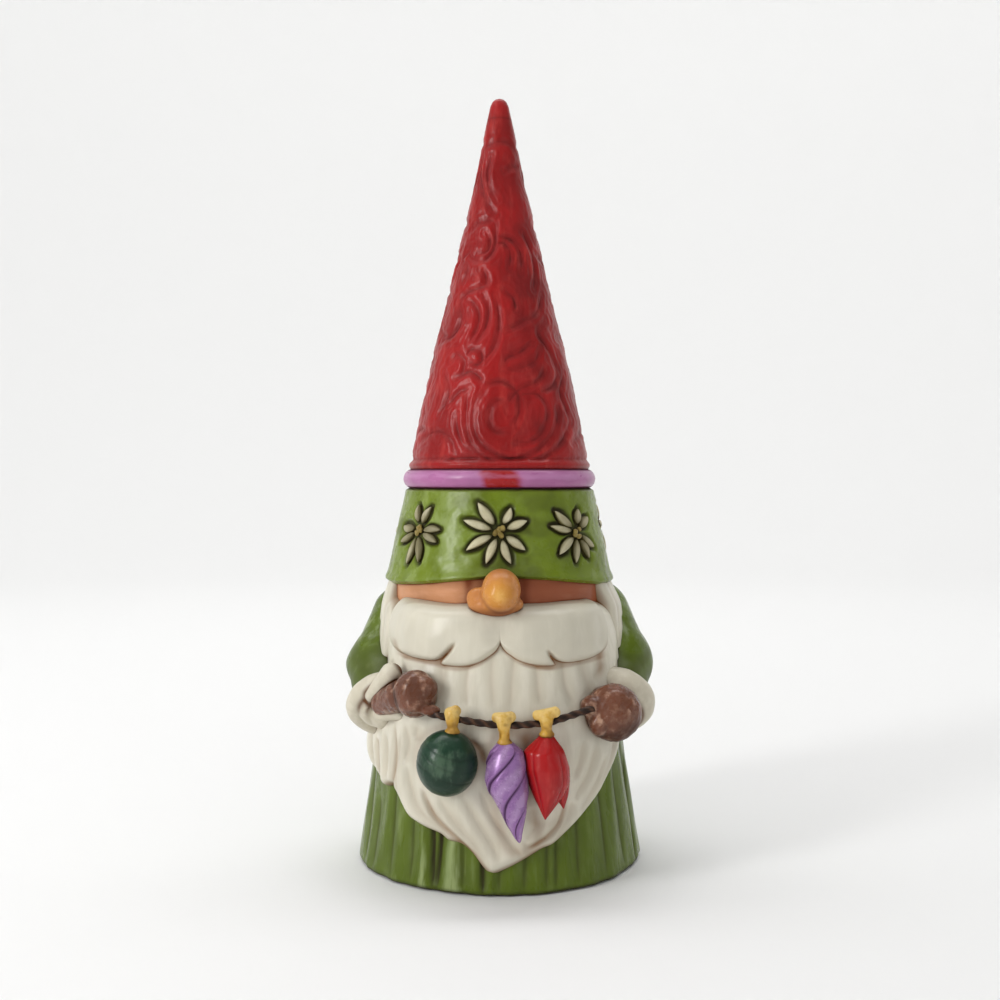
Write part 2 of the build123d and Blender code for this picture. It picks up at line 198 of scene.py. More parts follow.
def carve(theta, z, radius, strokes, width, wrap=False):
    """Grooves on a turned surface: how deep each place is in one, 0 to 1, and its distance to the nearest."""
    depth, nearest = np.zeros(theta.shape), np.full(theta.shape, 9.0)
    r = radius(z)
    for stroke in strokes:
        pts = curve_through(stroke)
        middle = pts[:, 0].mean()
        around = theta - middle
        if wrap:
            around = (around + 180) % 360 - 180
        path = np.column_stack([np.radians(pts[:, 0] - middle) * radius(pts[:, 1]), pts[:, 1]])
        s = np.radians(around) * r
        reach = 4 * width + 2
        near = (s > path[:, 0].min() - reach) & (s < path[:, 0].max() + reach)
        near &= (z > path[:, 1].min() - reach) & (z < path[:, 1].max() + reach)
        if not near.any():
            continue
        gap, along = line_distance(s[near], z[near], path)
        taper = 1 - np.abs(2 * along - 1) ** 4 * 0.8
        depth[near] = np.maximum(depth[near], bell(gap, 0, width * (0.5 + 0.5 * taper)) * taper)
        nearest[near] = np.minimum(nearest[near], gap)
    return depth, nearest


# ---------------------------------------------------------------- meshes
def layers_of(wash, lift, like=None, **more):
    """A piece's wash and highlight for each vertex, held from 0 to 1."""
    shape = np.shape(wash if like is None else like)
    layers = {"wash": wash, "lift": lift, **more}
    return {key: np.clip(np.broadcast_to(value, shape), 0, 1) for key, value in layers.items()}


def link(obj):
    bpy.context.scene.collection.objects.link(obj)
    return obj


def piece(name, verts, faces, material, nodes, layers):
    """A finished piece from millimetre vertices. layers are per-vertex numbers for its material."""
    mesh = bpy.data.meshes.new(name)
    fitted = np.asarray(verts) * FIT_SCALE + (0, 0, FIT_LIFT)
    mesh.from_pydata((fitted * MM).tolist(), [], faces if isinstance(faces, list) else faces.tolist())
    for layer, values in layers.items():
        data = mesh.attributes.new(layer, "FLOAT", "POINT")
        data.data.foreach_set("value", np.asarray(values, np.float32).ravel())
    mesh.polygons.foreach_set("use_smooth", [True] * len(mesh.polygons))
    mesh.materials.append(M[material])
    obj = link(bpy.data.objects.new(name, mesh))
    bm = bmesh.new()
    bm.from_mesh(mesh)
    bmesh.ops.recalc_face_normals(bm, faces=bm.faces)
    bm.to_mesh(mesh)
    bm.free()
    mesh.update()
    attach(obj, "root")
    if nodes:
        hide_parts(*nodes)


def surface_net(field):
    """The zero surface of a 3-D array, negative inside: vertices in grid steps, and quads."""
    cells = tuple(n - 1 for n in field.shape)
    stride = (cells[1] * cells[2], cells[2], 1)
    total = np.zeros((int(np.prod(cells)), 4))
    quads = []
    for axis in range(3):
        across = ((axis + 1) % 3, (axis + 2) % 3)
        low = np.moveaxis(field, axis, 0)[:-1]
        high = np.moveaxis(field, axis, 0)[1:]
        at = np.argwhere((low < 0) != (high < 0))
        f0, f1 = low[tuple(at.T)], high[tuple(at.T)]
        order = [0, 0, 0]
        rest = [a for a in range(3) if a != axis]
        order[axis], order[rest[0]], order[rest[1]] = 0, 1, 2
        at = at[:, order]
        for a in across:
            keep = (at[:, a] >= 1) & (at[:, a] <= cells[a] - 1)
            at, f0, f1 = at[keep], f0[keep], f1[keep]
        place = at.astype(float)
        place[:, axis] += f0 / (f0 - f1)
        corners = []
        for db, dc in ((1, 1), (0, 1), (0, 0), (1, 0)):
            cell = at.copy()
            cell[:, across[0]] -= db
            cell[:, across[1]] -= dc
            flat = cell @ np.array(stride)
            for k in range(3):
                total[:, k] += np.bincount(flat, place[:, k], len(total))
            total[:, 3] += np.bincount(flat, minlength=len(total))
            corners.append(flat)
        quad = np.column_stack(corners)
        quad[f0 > 0] = quad[f0 > 0][:, ::-1]
        quads.append(quad)
    used = total[:, 3] > 0
    number = np.cumsum(used) - 1
    return total[used, :3] / total[used, 3:], number[np.vstack(quads)]


def sculpt(field, low, high, step=0.25):
    """A mesh of the solid where field(x, y, z) is negative, its vertices drawn onto the exact surface."""
    low = np.asarray(low, float)
    axes = [np.arange(a, b, step) for a, b in zip(low, high)]
    verts, quads = surface_net(field(*np.meshgrid(*axes, indexing="ij")))
    verts = low + verts * step
    for _ in range(2):
        value = field(*verts.T)
        slope = []
        for k in range(3):
            nudge = np.zeros(3)
            nudge[k] = 0.04
            slope.append((field(*(verts + nudge).T) - field(*(verts - nudge).T)) / 0.08)
        slope = np.array(slope).T
        size = np.maximum((slope**2).sum(1), 0.05)
        verts = verts - np.clip(value / size, -step, step)[:, None] * slope
    return verts, quads


def shell(outline, height, base, edge, spans, step):
    """A raised patch on a turned surface, with a rounded edge. outline is (angle, z) points, height(theta, z)
    is how far it stands above base(z), and edge is the rounding. Returns vertices, quads and each vertex's
    angle and height."""
    (t0, t1), (z0, z1), (r0, r1) = spans
    dt = math.degrees(step / PATCH_RADIUS)
    theta, z, rho = np.arange(t0, t1, dt), np.arange(z0, z1, step), np.arange(r0, r1, step)
    T, Z = np.meshgrid(theta, z, indexing="ij")
    depth = patch_depth(T, Z, outline)
    q = np.maximum(1 - depth / edge(T, Z), 0)
    H = np.maximum(height(T, Z), 0.05)
    e = (rho[None, None, :] - base(Z)[..., None]) / H[..., None]
    field = (np.sqrt(q[..., None] ** 2 + np.abs(e) ** 2.2) - 1) * np.minimum(H, 2)[..., None]
    verts, quads = surface_net(field)
    angle, level, radius = t0 + verts[:, 0] * dt, z0 + verts[:, 1] * step, r0 + verts[:, 2] * step
    x, y = circle(angle, radius)
    return np.column_stack([x, -y, level]), quads, angle, level


def turned(theta_count, z_rows, radius):
    """A closed mesh round +Z from rows of heights. radius(theta, z) gives the radius in millimetres and the
    layers; a layer called z moves the rows."""
    theta = np.arange(theta_count) * 360 / theta_count - 180
    T, Z = np.meshgrid(theta, np.asarray(z_rows, float))
    R, layers = radius(T, Z)
    Z = layers.pop("z", Z)
    x, y = circle(T, R)
    verts = np.stack([x, -y, Z], -1).reshape(-1, 3)
    rows = len(z_rows)
    i = np.arange(theta_count)
    j = (i + 1) % theta_count
    faces = []
    for row in range(rows - 1):
        a, b = row * theta_count, (row + 1) * theta_count
        faces.append(np.column_stack([a + i, a + j, b + j, b + i]))
    faces = np.vstack(faces).tolist()
    ends = []
    for row in (0, rows - 1):
        centre = len(verts) + len(ends)
        ends.append([0, 0, Z[row].mean()])
        faces += [[int(row * theta_count + a), int(row * theta_count + b), centre] for a, b in zip(i, j)]
    layers = {k: np.concatenate([v.reshape(-1), [v[0].mean(), v[-1].mean()]]) for k, v in layers.items()}
    return np.vstack([verts, ends]), faces, layers


def join(parts):
    """One mesh from several, each with its vertices, faces and layers."""
    faces, first = [], 0
    for verts, part_faces, _ in parts:
        faces += [[first + i for i in face] for face in part_faces]
        first += len(verts)
    layers = {key: np.concatenate([part[2][key] for part in parts]) for key in parts[0][2]}
    return np.vstack([part[0] for part in parts]), faces, layers


def tube_faces(rows, around):
    """Quads between rings of vertices, and a face over each end."""
    faces = []
    for a in range(0, (rows - 1) * around, around):
        for j in range(around):
            k = (j + 1) % around
            faces.append([a + j, a + k, a + around + k, a + around + j])
    return faces + [list(range(around)), list(range((rows - 1) * around, rows * around))]


# ---------------------------------------------------------------- solid fields
def blend_min(a, b, k):
    """The union of two fields, with a fillet of about k between them."""
    h = np.clip(0.5 + 0.5 * (b - a) / k, 0, 1)
    return b * (1 - h) + a * h - k * h * (1 - h)


def ball_field(x, y, z, centre, r):
    return np.sqrt((x - centre[0]) ** 2 + (y - centre[1]) ** 2 + (z - centre[2]) ** 2) - r


def oval_field(x, y, z, centre, radii):
    p = [(v - c) / r for v, c, r in zip((x, y, z), centre, radii)]
    k0 = np.sqrt(sum(v * v for v in p))
    k1 = np.sqrt(sum((v / r) ** 2 for v, r in zip(p, radii)))
    return k0 * (k0 - 1) / np.maximum(k1, 1e-6)


def bar_field(x, y, z, a, b, ra, rb):
    a, b = np.asarray(a, float), np.asarray(b, float)
    d = b - a
    t = np.clip(((x - a[0]) * d[0] + (y - a[1]) * d[1] + (z - a[2]) * d[2]) / (d @ d), 0, 1)
    gap = np.sqrt((x - a[0] - t * d[0]) ** 2 + (y - a[1] - t * d[1]) ** 2 + (z - a[2] - t * d[2]) ** 2)
    return gap - (ra + (rb - ra) * t)


def ring_field(x, y, z, centre, axis, ring, roll):
    """A ring of radius ring and thickness roll, then the height along its axis and the distance from it."""
    axis = np.asarray(axis, float) / np.linalg.norm(axis)
    p = (x - centre[0], y - centre[1], z - centre[2])
    h = sum(v * a for v, a in zip(p, axis))
    flat = np.sqrt(np.maximum(sum(v * v for v in p) - h * h, 0))
    return np.sqrt((flat - ring) ** 2 + h * h) - roll, h, flat


# ---------------------------------------------------------------- materials
def colour(r, g, b):
    """Linear colour from 0-255 values as a paint chart gives them."""
    shares = (r / 255, g / 255, b / 255)
    return tuple(c / 12.92 if c <= 0.04045 else ((c + 0.055) / 1.055) ** 2.4 for c in shares) + (1,)


BLACK = (0.0, 0.0, 0.0, 1.0)


class Nodes:
    """Shorthand for building a material's node tree."""

    def __init__(self, name):
        self.material = bpy.data.materials.new(name)
        self.material.use_nodes = True
        self.tree = self.material.node_tree
        self.tree.nodes.clear()

    def feed(self, socket, value):
        """Link another node's output to a socket, or set the socket to a number or colour."""
        if hasattr(value, "is_linked"):
            self.tree.links.new(value, socket)
        else:
            socket.default_value = value

    def add(self, kind, inputs, **props):
        node = self.tree.nodes.new(kind)
        for key, value in props.items():
            setattr(node, key, value)
        for key, value in inputs.items():
            self.feed(node.inputs[key], value)
        return node.outputs[0] if node.outputs else node

    def times(self, a, b, clamp=False):
        return self.add("ShaderNodeMath", {0: a, 1: b}, operation="MULTIPLY", use_clamp=clamp)

    def plus(self, a, b, clamp=False):
        return self.add("ShaderNodeMath", {0: a, 1: b}, operation="ADD", use_clamp=clamp)

    def minus(self, a, b):
        return self.add("ShaderNodeMath", {0: a, 1: b}, operation="SUBTRACT")

    def mix(self, share, a, b):
        """A colour between a and b. A Mix node's colour sockets are its inputs 6 and 7 and its output 2."""
        node = self.tree.nodes.new("ShaderNodeMix")
        node.data_type = "RGBA"
        for socket, value in ((0, share), (6, a), (7, b)):
            self.feed(node.inputs[socket], value)
        return node.outputs[2]

    def object_place(self):
        node = self.tree.nodes.new("ShaderNodeTexCoord")
        return node.outputs["Object"]

    def layer(self, name):
        """A piece's own number for each vertex."""
        node = self.tree.nodes.new("ShaderNodeAttribute")
        node.attribute_name = name
        return node.outputs["Fac"]

    def openness(self, distance, samples):
        """1 where nothing is near, down to 0 deep in a recess; distance is in millimetres."""
        node = self.tree.nodes.new("ShaderNodeAmbientOcclusion")
        node.samples = samples
        node.inputs["Distance"].default_value = distance * MM
        return node.outputs["AO"]

    def noise(self, where, scale, detail=3.0, rough=0.55):
        inputs = {"Vector": where, "Scale": scale, "Detail": detail, "Roughness": rough}
        return self.add("ShaderNodeTexNoise", inputs)

    def ramp(self, value, low, high):
        inputs = {0: value, 1: low, 2: high}
        return self.add("ShaderNodeMapRange", inputs, interpolation_type="SMOOTHSTEP")

    def bump(self, strength, distance, height):
        """Fine relief; distance is in millimetres."""
        return self.add("ShaderNodeBump", {"Strength": strength, "Distance": distance * MM, "Height": height})

    def finish(self, **inputs):
        """The material, from its surface's inputs, with spaces in their names written as underscores."""
        inputs = {key.replace("_", " "): value for key, value in inputs.items()}
        self.add("ShaderNodeOutputMaterial", {"Surface": self.add("ShaderNodeBsdfPrincipled", inputs)})
        return self.material


def paint(name, base, dark, light, rough=0.34, stroke=(1.0, 1.0, 0.22), wash=1.0, dry=0.5, crevice=1.0,
          variation=0.35, metallic=0.0, bump=0.25, second=None, reach=1.6, coat=0.12):
    """Hand-brushed paint: broad variation, streaks, a dark wash in the recesses that is partly painted shade,
    dry-brushed highlights. The piece's own "wash" and "lift" layers say where it was carved, and on some
    pieces where painted shade and painted highlights lie. second is painted over its "mask"."""
    base, dark, light = colour(*base), colour(*dark), colour(*light)
    n = Nodes(name)
    where = n.object_place()
    streaked = n.add("ShaderNodeMapping", {"Vector": where, "Scale": stroke})
    broad = n.noise(where, 110.0, 2.0)
    streaks = n.noise(streaked, 620.0, 3.0, 0.6)
    grain = n.noise(where, 2600.0)
    wash_layer, lift_layer = n.layer("wash"), n.layer("lift")
    ground = base
    if second:
        edge = n.plus(n.layer("mask"), n.times(n.minus(streaks, 0.5), 0.5))
        ground = n.mix(n.ramp(edge, 0.35, 0.65), base, colour(*second))
    # Uneven paint, then streaks of light paint, then the dry brush
    tone = n.mix(n.times(n.ramp(broad, 0.62, 0.36), variation, True), ground, n.mix(0.55, ground, BLACK))
    tone = n.mix(n.times(n.ramp(streaks, 0.5, 0.72), variation * 1.3, True), tone, n.mix(0.28, ground, light))
    dabs = n.ramp(n.plus(streaks, n.times(lift_layer, 0.34)), 0.56, 0.86)
    tone = n.mix(n.times(n.times(dabs, lift_layer, True), dry, True), tone, light)
    # The dark wash soaks into carved places, and a little into every recess and join between parts, partly as
    # the antique wash that pools there and partly as painted shade
    close, wide = n.openness(0.45 * reach, 8), n.openness(2.2 * reach, 6)
    recess = n.plus(n.ramp(close, 0.8, 0.35), n.times(n.ramp(wide, 0.75, 0.2), 0.4))
    soak = n.plus(n.times(wash_layer, wash), n.times(recess, crevice))
    soak = n.times(soak, n.plus(0.62, n.times(broad, 0.7)), True)
    tone = n.mix(soak, tone, dark)
    # Washed places are matt: rougher, and without most of the varnish
    gloss = n.plus(rough - 0.06, n.times(streaks, 0.14))
    gloss = n.plus(gloss, n.times(soak, 0.45), True)
    varnish = n.times(n.minus(1.0, n.times(soak, 0.85, True)), coat)
    relief = n.plus(n.times(streaks, 0.8), n.times(grain, 0.25))
    return n.finish(Base_Color=tone, Roughness=gloss, Normal=n.bump(bump, 0.12, relief), Metallic=metallic,
                    Specular_IOR_Level=0.22, Coat_Roughness=0.22, Coat_Weight=varnish)


def plain(name, base, rough, scale=900.0, metallic=0.0, spread=0.3):
    """A simple mottled finish for what hardly shows."""
    n = Nodes(name)
    grain = n.noise(n.object_place(), scale, 4.0)
    tone = n.mix(n.times(grain, spread, True), colour(*base), (0.01, 0.01, 0.01, 1.0))
    return n.finish(Base_Color=tone, Normal=n.bump(0.3, 0.1, grain), Metallic=metallic, Roughness=rough)


OLIVE_WASH = (46, 42, 14)
EVEN = (1, 1, 1)
ACROSS = (0.3, 0.3, 1)
# Each paint's own colour, the wash in its recesses that also serves as painted shade, its dry-brushed light
# that also serves as painted highlight, and how it differs from the usual
PAINTS = {
    "hat": ((160, 22, 22), (66, 8, 12), (206, 84, 74), dict(
        rough=0.33, variation=0.5, dry=0.35, coat=0.1, bump=0.6)),
    "band": ((176, 108, 156), (88, 34, 52), (214, 164, 206), dict(
        stroke=ACROSS, dry=0.25, second=(160, 26, 28), rough=0.28)),
    "cuff": ((110, 128, 28), OLIVE_WASH, (160, 176, 110), dict(
        dry=0.45, rough=0.26, coat=0.1, stroke=(0.5, 0.5, 0.35), bump=0.35)),
    "petal": ((206, 198, 162), (84, 76, 34), (230, 224, 198), dict(stroke=EVEN, variation=0.3, reach=0.8)),
    "daisy_eye": ((124, 104, 44), (40, 32, 10), (200, 180, 110), dict(stroke=EVEN)),
    # The face's second paint is its darker right half: partly its own tone, partly painted shade
    "face": ((206, 144, 100), (118, 56, 28), (226, 170, 136), dict(
        stroke=ACROSS, variation=0.25, second=(166, 90, 56), wash=0.9)),
    # The nose's second paint is the darker orange round its painted highlight
    "nose": ((222, 152, 66), (112, 54, 30), (244, 196, 112), dict(
        rough=0.26, variation=0.25, second=(204, 134, 74), stroke=EVEN)),
    "beard": ((214, 208, 190), (134, 88, 44), (236, 231, 216), dict(
        stroke=(1, 1, 0.16), rough=0.3, variation=0.12, wash=0.8, crevice=0.55, dry=0.45, reach=1.0)),
    "fur": ((206, 198, 178), (92, 54, 26), (232, 226, 210), dict(stroke=EVEN, variation=0.15, reach=1.4)),
    "mitten": ((114, 69, 49), (38, 18, 10), (208, 170, 144), dict(
        stroke=EVEN, variation=0.6, dry=0.85, bump=0.9, rough=0.26, coat=0.3)),
    "cord": ((58, 36, 22), (22, 12, 8), (104, 72, 50), dict(stroke=EVEN, variation=0.5)),
    "cap": ((206, 160, 66), (112, 66, 24), (238, 214, 144), dict(
        stroke=EVEN, variation=0.3, reach=0.8, rough=0.28)),
    "ball": ((24, 56, 38), (6, 18, 12), (104, 130, 104), dict(
        stroke=(1, 1, 0.4), rough=0.3, variation=0.5, dry=0.4, coat=0.2, crevice=0.5, bump=0.8)),
    "icicle": ((146, 106, 160), (62, 30, 66), (200, 174, 208), dict(
        rough=0.26, metallic=0.2, stroke=EVEN, variation=0.15, dry=0.35, crevice=0.5, bump=0.5)),
    "bud": ((170, 22, 24), (76, 8, 10), (206, 84, 76), dict(
        rough=0.24, stroke=(1, 1, 0.3), crevice=0.5, coat=0.2, dry=0.3)),
    "robe": ((90, 108, 22), OLIVE_WASH, (176, 190, 134), dict(
        dry=0.7, variation=0.26, stroke=(1, 1, 0.12), rough=0.26, coat=0.1, bump=0.35)),
}
M = {key: paint(f"{key}_paint", *colours, **finish) for key, (*colours, finish) in PAINTS.items()}
M["felt"] = plain("felt_cloth", (56, 62, 44), 0.95, 2600.0)
M["resin"] = plain("bare_resin", (214, 208, 194), 0.7)
M["steel"] = plain("pin_wire", (168, 168, 168), 0.35, 3000.0, metallic=1.0, spread=0.15)

# ---------------------------------------------------------------- hat
# Each carved scroll is a stroke of (angle, height) points
SCROLLS = [
    ((-48, 122.3), (-55, 125.3), (-21, 126.3), (13, 126.5), (41, 126), (62, 124.3), (65, 122.6)),
    ((-52, 125.2), (-53, 121), (-35, 117.5), (-13, 114), (-4, 113)),
    ((-23, 124), (-31, 121.2), (-23, 118.3), (-4, 115.4)),
    ((13, 121.1), (34, 121.8), (65, 122.6)),
    ((-50, 110.9), (-35, 111.8), (-10, 111.8), (-6, 109.7), (-7, 106.9), (-20, 104.9), (-39, 105.3),
     (-49, 106.9)),
    ((-21, 109.8), (-13, 108.3), (-17, 106.5), (-31, 105.9)),
    ((-5, 107.8), (7, 107.8), (15, 106), (13, 103.4)),
    ((-4, 109.2), (19, 108.4), (30, 106.2), (27, 102.4)),
    ((-50, 97.7), (-35, 99.3), (-17, 100.2), (-16, 101.9), (-22, 103.3)),
    ((-34, 98.1), (-23, 96.4), (-20, 93.6), (-27, 90.1)),
    ((-19, 99.1), (-11, 96.3), (-13, 92.7), (-22, 89.6)),
    ((6, 99.3), (15, 97.9), (17, 95.9)),
    ((-4, 98.6), (0, 94), (-3, 89.9), (-13, 86.8)),
    ((-28, 87.8), (-24, 89.1), (-16, 88.6), (-14, 87.1), (-19, 86.2), (-26, 86.8)),
    ((-44, 87.1), (-37, 88.2), (-29, 87), (-30, 85.2), (-36, 84.1)),
    ((-35, 83.9), (-24, 85.1), (-16, 84.2), (-12, 82.8)),
    ((3, 85.5), (6, 87.3), (17, 88.4), (30, 90.1)),
    ((6, 85.3), (18, 85.8), (30, 87), (37, 89.3)),
    ((7, 78), (5, 79.5), (-1, 80), (-6, 78.9), (-7, 76.7), (-2, 74.9), (7, 74.9)),
    ((-11, 82.4), (-18, 79.3), (-17, 75), (-8, 71.9), (6, 70.2), (21, 71.1), (35, 73.7), (44, 76.9),
     (46, 79.1)),
    ((-12, 82.8), (2, 83.3), (13, 81.5), (14, 78.5), (10, 75.8)),
    ((5, 79.3), (15, 82), (30, 83.4), (39, 85.7)),
    ((15, 81.1), (29, 81.2), (36, 79), (32, 75.5), (22, 73.2), (10, 72.8)),
    ((-24, 81.6), (-22, 75), (-13, 71.1), (-1, 69.5)),
    ((60, 77), (46, 73.3), (32, 70.9), (21, 69.8)),
    ((-72, 72.6), (-50, 74.9), (-35, 73.9), (-28, 71.1), (-29, 69.6)),
    ((-37, 69.9), (-24, 70.3), (-12, 70.2)),
    ((-40, 79.5), (-31, 81.6), (-23, 82.2)),
    ((-31, 77.7), (-29, 75), (-23, 72.4), (-14, 71.1)),
    ((-66, 84.7), (-75, 81.3), (-69, 77.1)),
    ((50, 94.5), (37, 92), (46, 89.4), (54, 85.5)),
    ((54, 85), (44, 82.7), (31, 81.6)),
    ((38, 110), (48, 107.4), (50, 103.7), (41, 99.8)),
    ((-75, 106.5), (-46, 104.1), (-45, 101.3)),
    ((-65, 91.1), (-49, 91.7), (-39, 94.3), (-46, 96.7)),
    ((5, 92.2), (22, 93.7), (41, 95.7), (53, 99.1)),
]
# The front's scrolls are carried round: turned, lifted a little, and the last time mirrored
SCROLL_REPEATS = ((0, 0.0, 1), (128, 0.3, 1), (-116, 0.6, -1))


def make_hat():
    strokes = [
        [(mirror * t + turn, z + lift) for t, z in scroll]
        for turn, lift, mirror in SCROLL_REPEATS for scroll in SCROLLS
    ]

    def radius(T, Z):
        depth, gap = carve(T, Z, hat_radius, strokes, 0.33, wrap=True)
        r0 = hat_radius(Z)
        x, y = circle(T, r0)
        # Carving fades out at the plain tip and the rolled foot
        fade = ramp(Z, 133.0, 128.0) * ramp(Z, 68.6, 70.4)
        depth = depth * (0.55 + 0.45 * ramp(noise(x, y, Z, 1.8, 7, 2), -0.35, 0.3))
        rings = np.cos(2 * np.pi * (gap + 0.25 * noise(x, y, Z, 2.2, 8, 2)) / 1.05) * np.exp(-gap / 2.2)
        puff = 0.2 * (1 - np.exp(-gap / 1.0)) + 0.17 * noise(x, y, Z, (2.6, 2.6, 3.4), 5)
        fine = 0.07 * noise(x, y, Z, (0.8, 0.8, 1.3), 9, 2)
        lip = 0.4 * bell(Z, 69.2, 0.55)
        cut = 0.2 * bell(Z, 70.2, 0.3)
        size = np.clip(r0 / 6, 0.3, 1)
        r = r0 - 0.12 + fade * size * (puff + fine - 0.36 * depth + 0.07 * rings) + lip - cut
        # Stain blotches, kept to the front and right, where they also darken the hat's right side as painted
        # shade
        stain = ramp(noise(x, y, Z, (3.5, 3.5, 5.0), 15), 0.05, 0.5)
        stain = stain * ramp(T, -30, 50) * ramp(np.abs(T), 160, 90)
        wash = depth * fade * 0.5 + 0.35 * bell(Z, 131.0, 0.25) + 1.1 * cut
        wash = wash + 0.2 * ramp(-rings, 0.35, 0.9) * fade + 0.35 * stain * fade
        return np.maximum(r, 0.02), layers_of(wash, 0.2 * bell(gap, 0.6, 0.25) * fade)

    foot, carved = np.linspace(68.4, 70.6, 12)[:-1], np.linspace(70.6, 131, 205)[:-1]
    rows = np.concatenate([foot, carved, np.linspace(131, 134.94, 16)])
    verts, faces, layers = turned(420, rows, radius)
    piece("hat", verts, faces, "hat", ("hat_cone",), layers)


def make_band():
    centre_z, bead, ring = 66.75, 1.68, 15.6

    def radius(T, Z):
        level = np.clip((Z - centre_z) / bead, -1, 1)
        x, y = circle(T, 6)
        r = ring + bead * np.sqrt(1 - 0.94 * level**2) + 0.06 * noise(x, y, Z / 1.5, 1, 3)
        mask = 0.25 + 0.5 * ramp(np.abs(T - 1.0 + 0.8 * (Z - centre_z)), 17.0, 4.0)
        return r, layers_of(ramp(np.abs(level), 0.72, 1.0), bell(level, 0.3, 0.4), mask=mask)

    verts, faces, layers = turned(360, np.linspace(centre_z - bead, centre_z + bead, 26), radius)
    piece("hat_band", verts, faces, "band", ("hat_band",), layers)


# ---------------------------------------------------------------- cuff and daisies
# Each petal: direction in degrees from +X towards +Z, where it starts, its length and its width
PETALS = (
    (127, 1.5, 4.5, 1.75), (64, 1.5, 2.9, 1.4), (21, 1.4, 3.6, 1.5), (-35, 1.4, 3.9, 1.5),
    (-70, 1.5, 4.1, 1.45), (-113, 1.3, 4.4, 1.5), (-151, 1.5, 4.9, 1.5), (163, 1.4, 5.0, 1.45),
)
# Each daisy's angle and height on the cuff, the wash that its petals have at most, and how thick they are
DAISIES = (
    (0, 58.0, 0.0, 1.0), (46, 57.7, 0.4, 1.0), (99, 58.3, 0.0, 0.6), (152, 58.0, 0.0, 1.0),
    (-155, 58.2, 0.0, 1.0), (-102, 57.7, 0.0, 0.6), (-49, 58.0, 0.6, 1.0),
)


def daisy_petals(index):
    """The petals of one daisy, each a little different from the front one's."""
    rng = np.random.default_rng(100 + index)
    petals = []
    for angle, start, length, width in PETALS:
        if index:
            angle = angle + rng.uniform(-6, 6) + 7 * index
            length = length * rng.uniform(0.85, 1.0)
            width = width * rng.uniform(0.85, 1.05)
        petals.append((math.radians(angle), start, length, width))
    return petals


def cuff_sink(T, Z):
    """How far the cuff is pressed in round the petals, 0 to 1."""
    sink = np.zeros(T.shape)
    for index, (angle, z0, _, _) in enumerate(DAISIES):
        around = (T - angle + 180) % 360 - 180
        u, v = np.radians(around) * cuff_radius(Z), Z - z0
        near = np.hypot(u, v) < 8
        for a, start, length, width in daisy_petals(index):
            path = np.array([[reach * math.cos(a), reach * math.sin(a)] for reach in (start, start + length)])
            gap, along = line_distance(u[near], v[near], path)
            half = width / 2 * np.sin(np.pi * np.clip(along * 0.9 + 0.08, 0, 1)) ** 0.7
            sink[near] = np.maximum(sink[near], ramp(gap - half, 0.95, 0.15))
        sink[near] = np.maximum(sink[near], ramp(np.hypot(u[near], v[near]), 1.9, 0.9))
    return sink


def make_cuff():
    def radius(T, Z):
        turn = np.radians(T)
        r0 = cuff_radius(Z)
        x, y = circle(T, r0)
        # The foot hangs lower at the sides and back than over the nose
        droop = np.interp(np.abs(T), [0, 25, 70, 180], [2.1, 1.5, 0.3, 0.2]) + 0.25 * np.sin(turn * 3 + 1)
        level = (Z - CUFF_FOOT_Z) / (CUFF_TOP_Z - CUFF_FOOT_Z)
        drooped = Z + droop * np.clip(1 - level * 2.5, 0, 1)
        sink = cuff_sink(T, drooped)
        bumps = noise(x, y, Z, 4.5, 11) * 0.22 + noise(x, y, Z, 1.6, 12) * 0.09
        edge = ramp(level, 0.0, 0.05)
        top = ramp(level, 1.0, 0.965)
        r = r0 - 0.9 * (1 - edge) ** 2 - 0.5 * (1 - top) ** 2 + (bumps - 0.5 * sink) * edge
        r = r + 0.28 * bell(level, 0.055, 0.05)
        # Painted shade on the cuff just above the nose
        shade_above_nose = bell(T, 0, 13) * ramp(Z, 56.0, 51.5)
        stain = ramp(noise(x, y, Z, (5.5, 5.5, 4.5), 17), 0.1, 0.55)
        wash = 0.75 * sink + 0.5 * shade_above_nose + 0.6 * (1 - top) + 0.3 * ramp(-bumps, 0.08, 0.2) + 0.3 * stain
        # Painted highlight: the dry-brushed light is stronger on the lit front left
        lit_side_highlight = ramp(T, 8, -20) * ramp(np.abs(T + 28), 42, 20)
        lift = np.clip(bumps * 2.2 + 0.3 + 0.5 * lit_side_highlight, 0, 1) * (1 - sink) * edge
        return r, {**layers_of(wash, lift * (0.35 + 0.65 * lit_side_highlight)), "z": drooped}

    verts, faces, layers = turned(450, np.linspace(CUFF_FOOT_Z, CUFF_TOP_Z, 150), radius)
    piece("hat_cuff", verts, faces, "cuff", ("hat_cuff",), layers)


def on_cuff(angle, u, v, z0, lift):
    """A point u across and v up from a daisy's centre, standing lift above the cuff."""
    z = z0 + v
    turn = np.radians(angle) + u / cuff_radius(z)
    r = cuff_radius(z) + lift
    return np.stack([r * np.sin(turn), -r * np.cos(turn), z], -1)


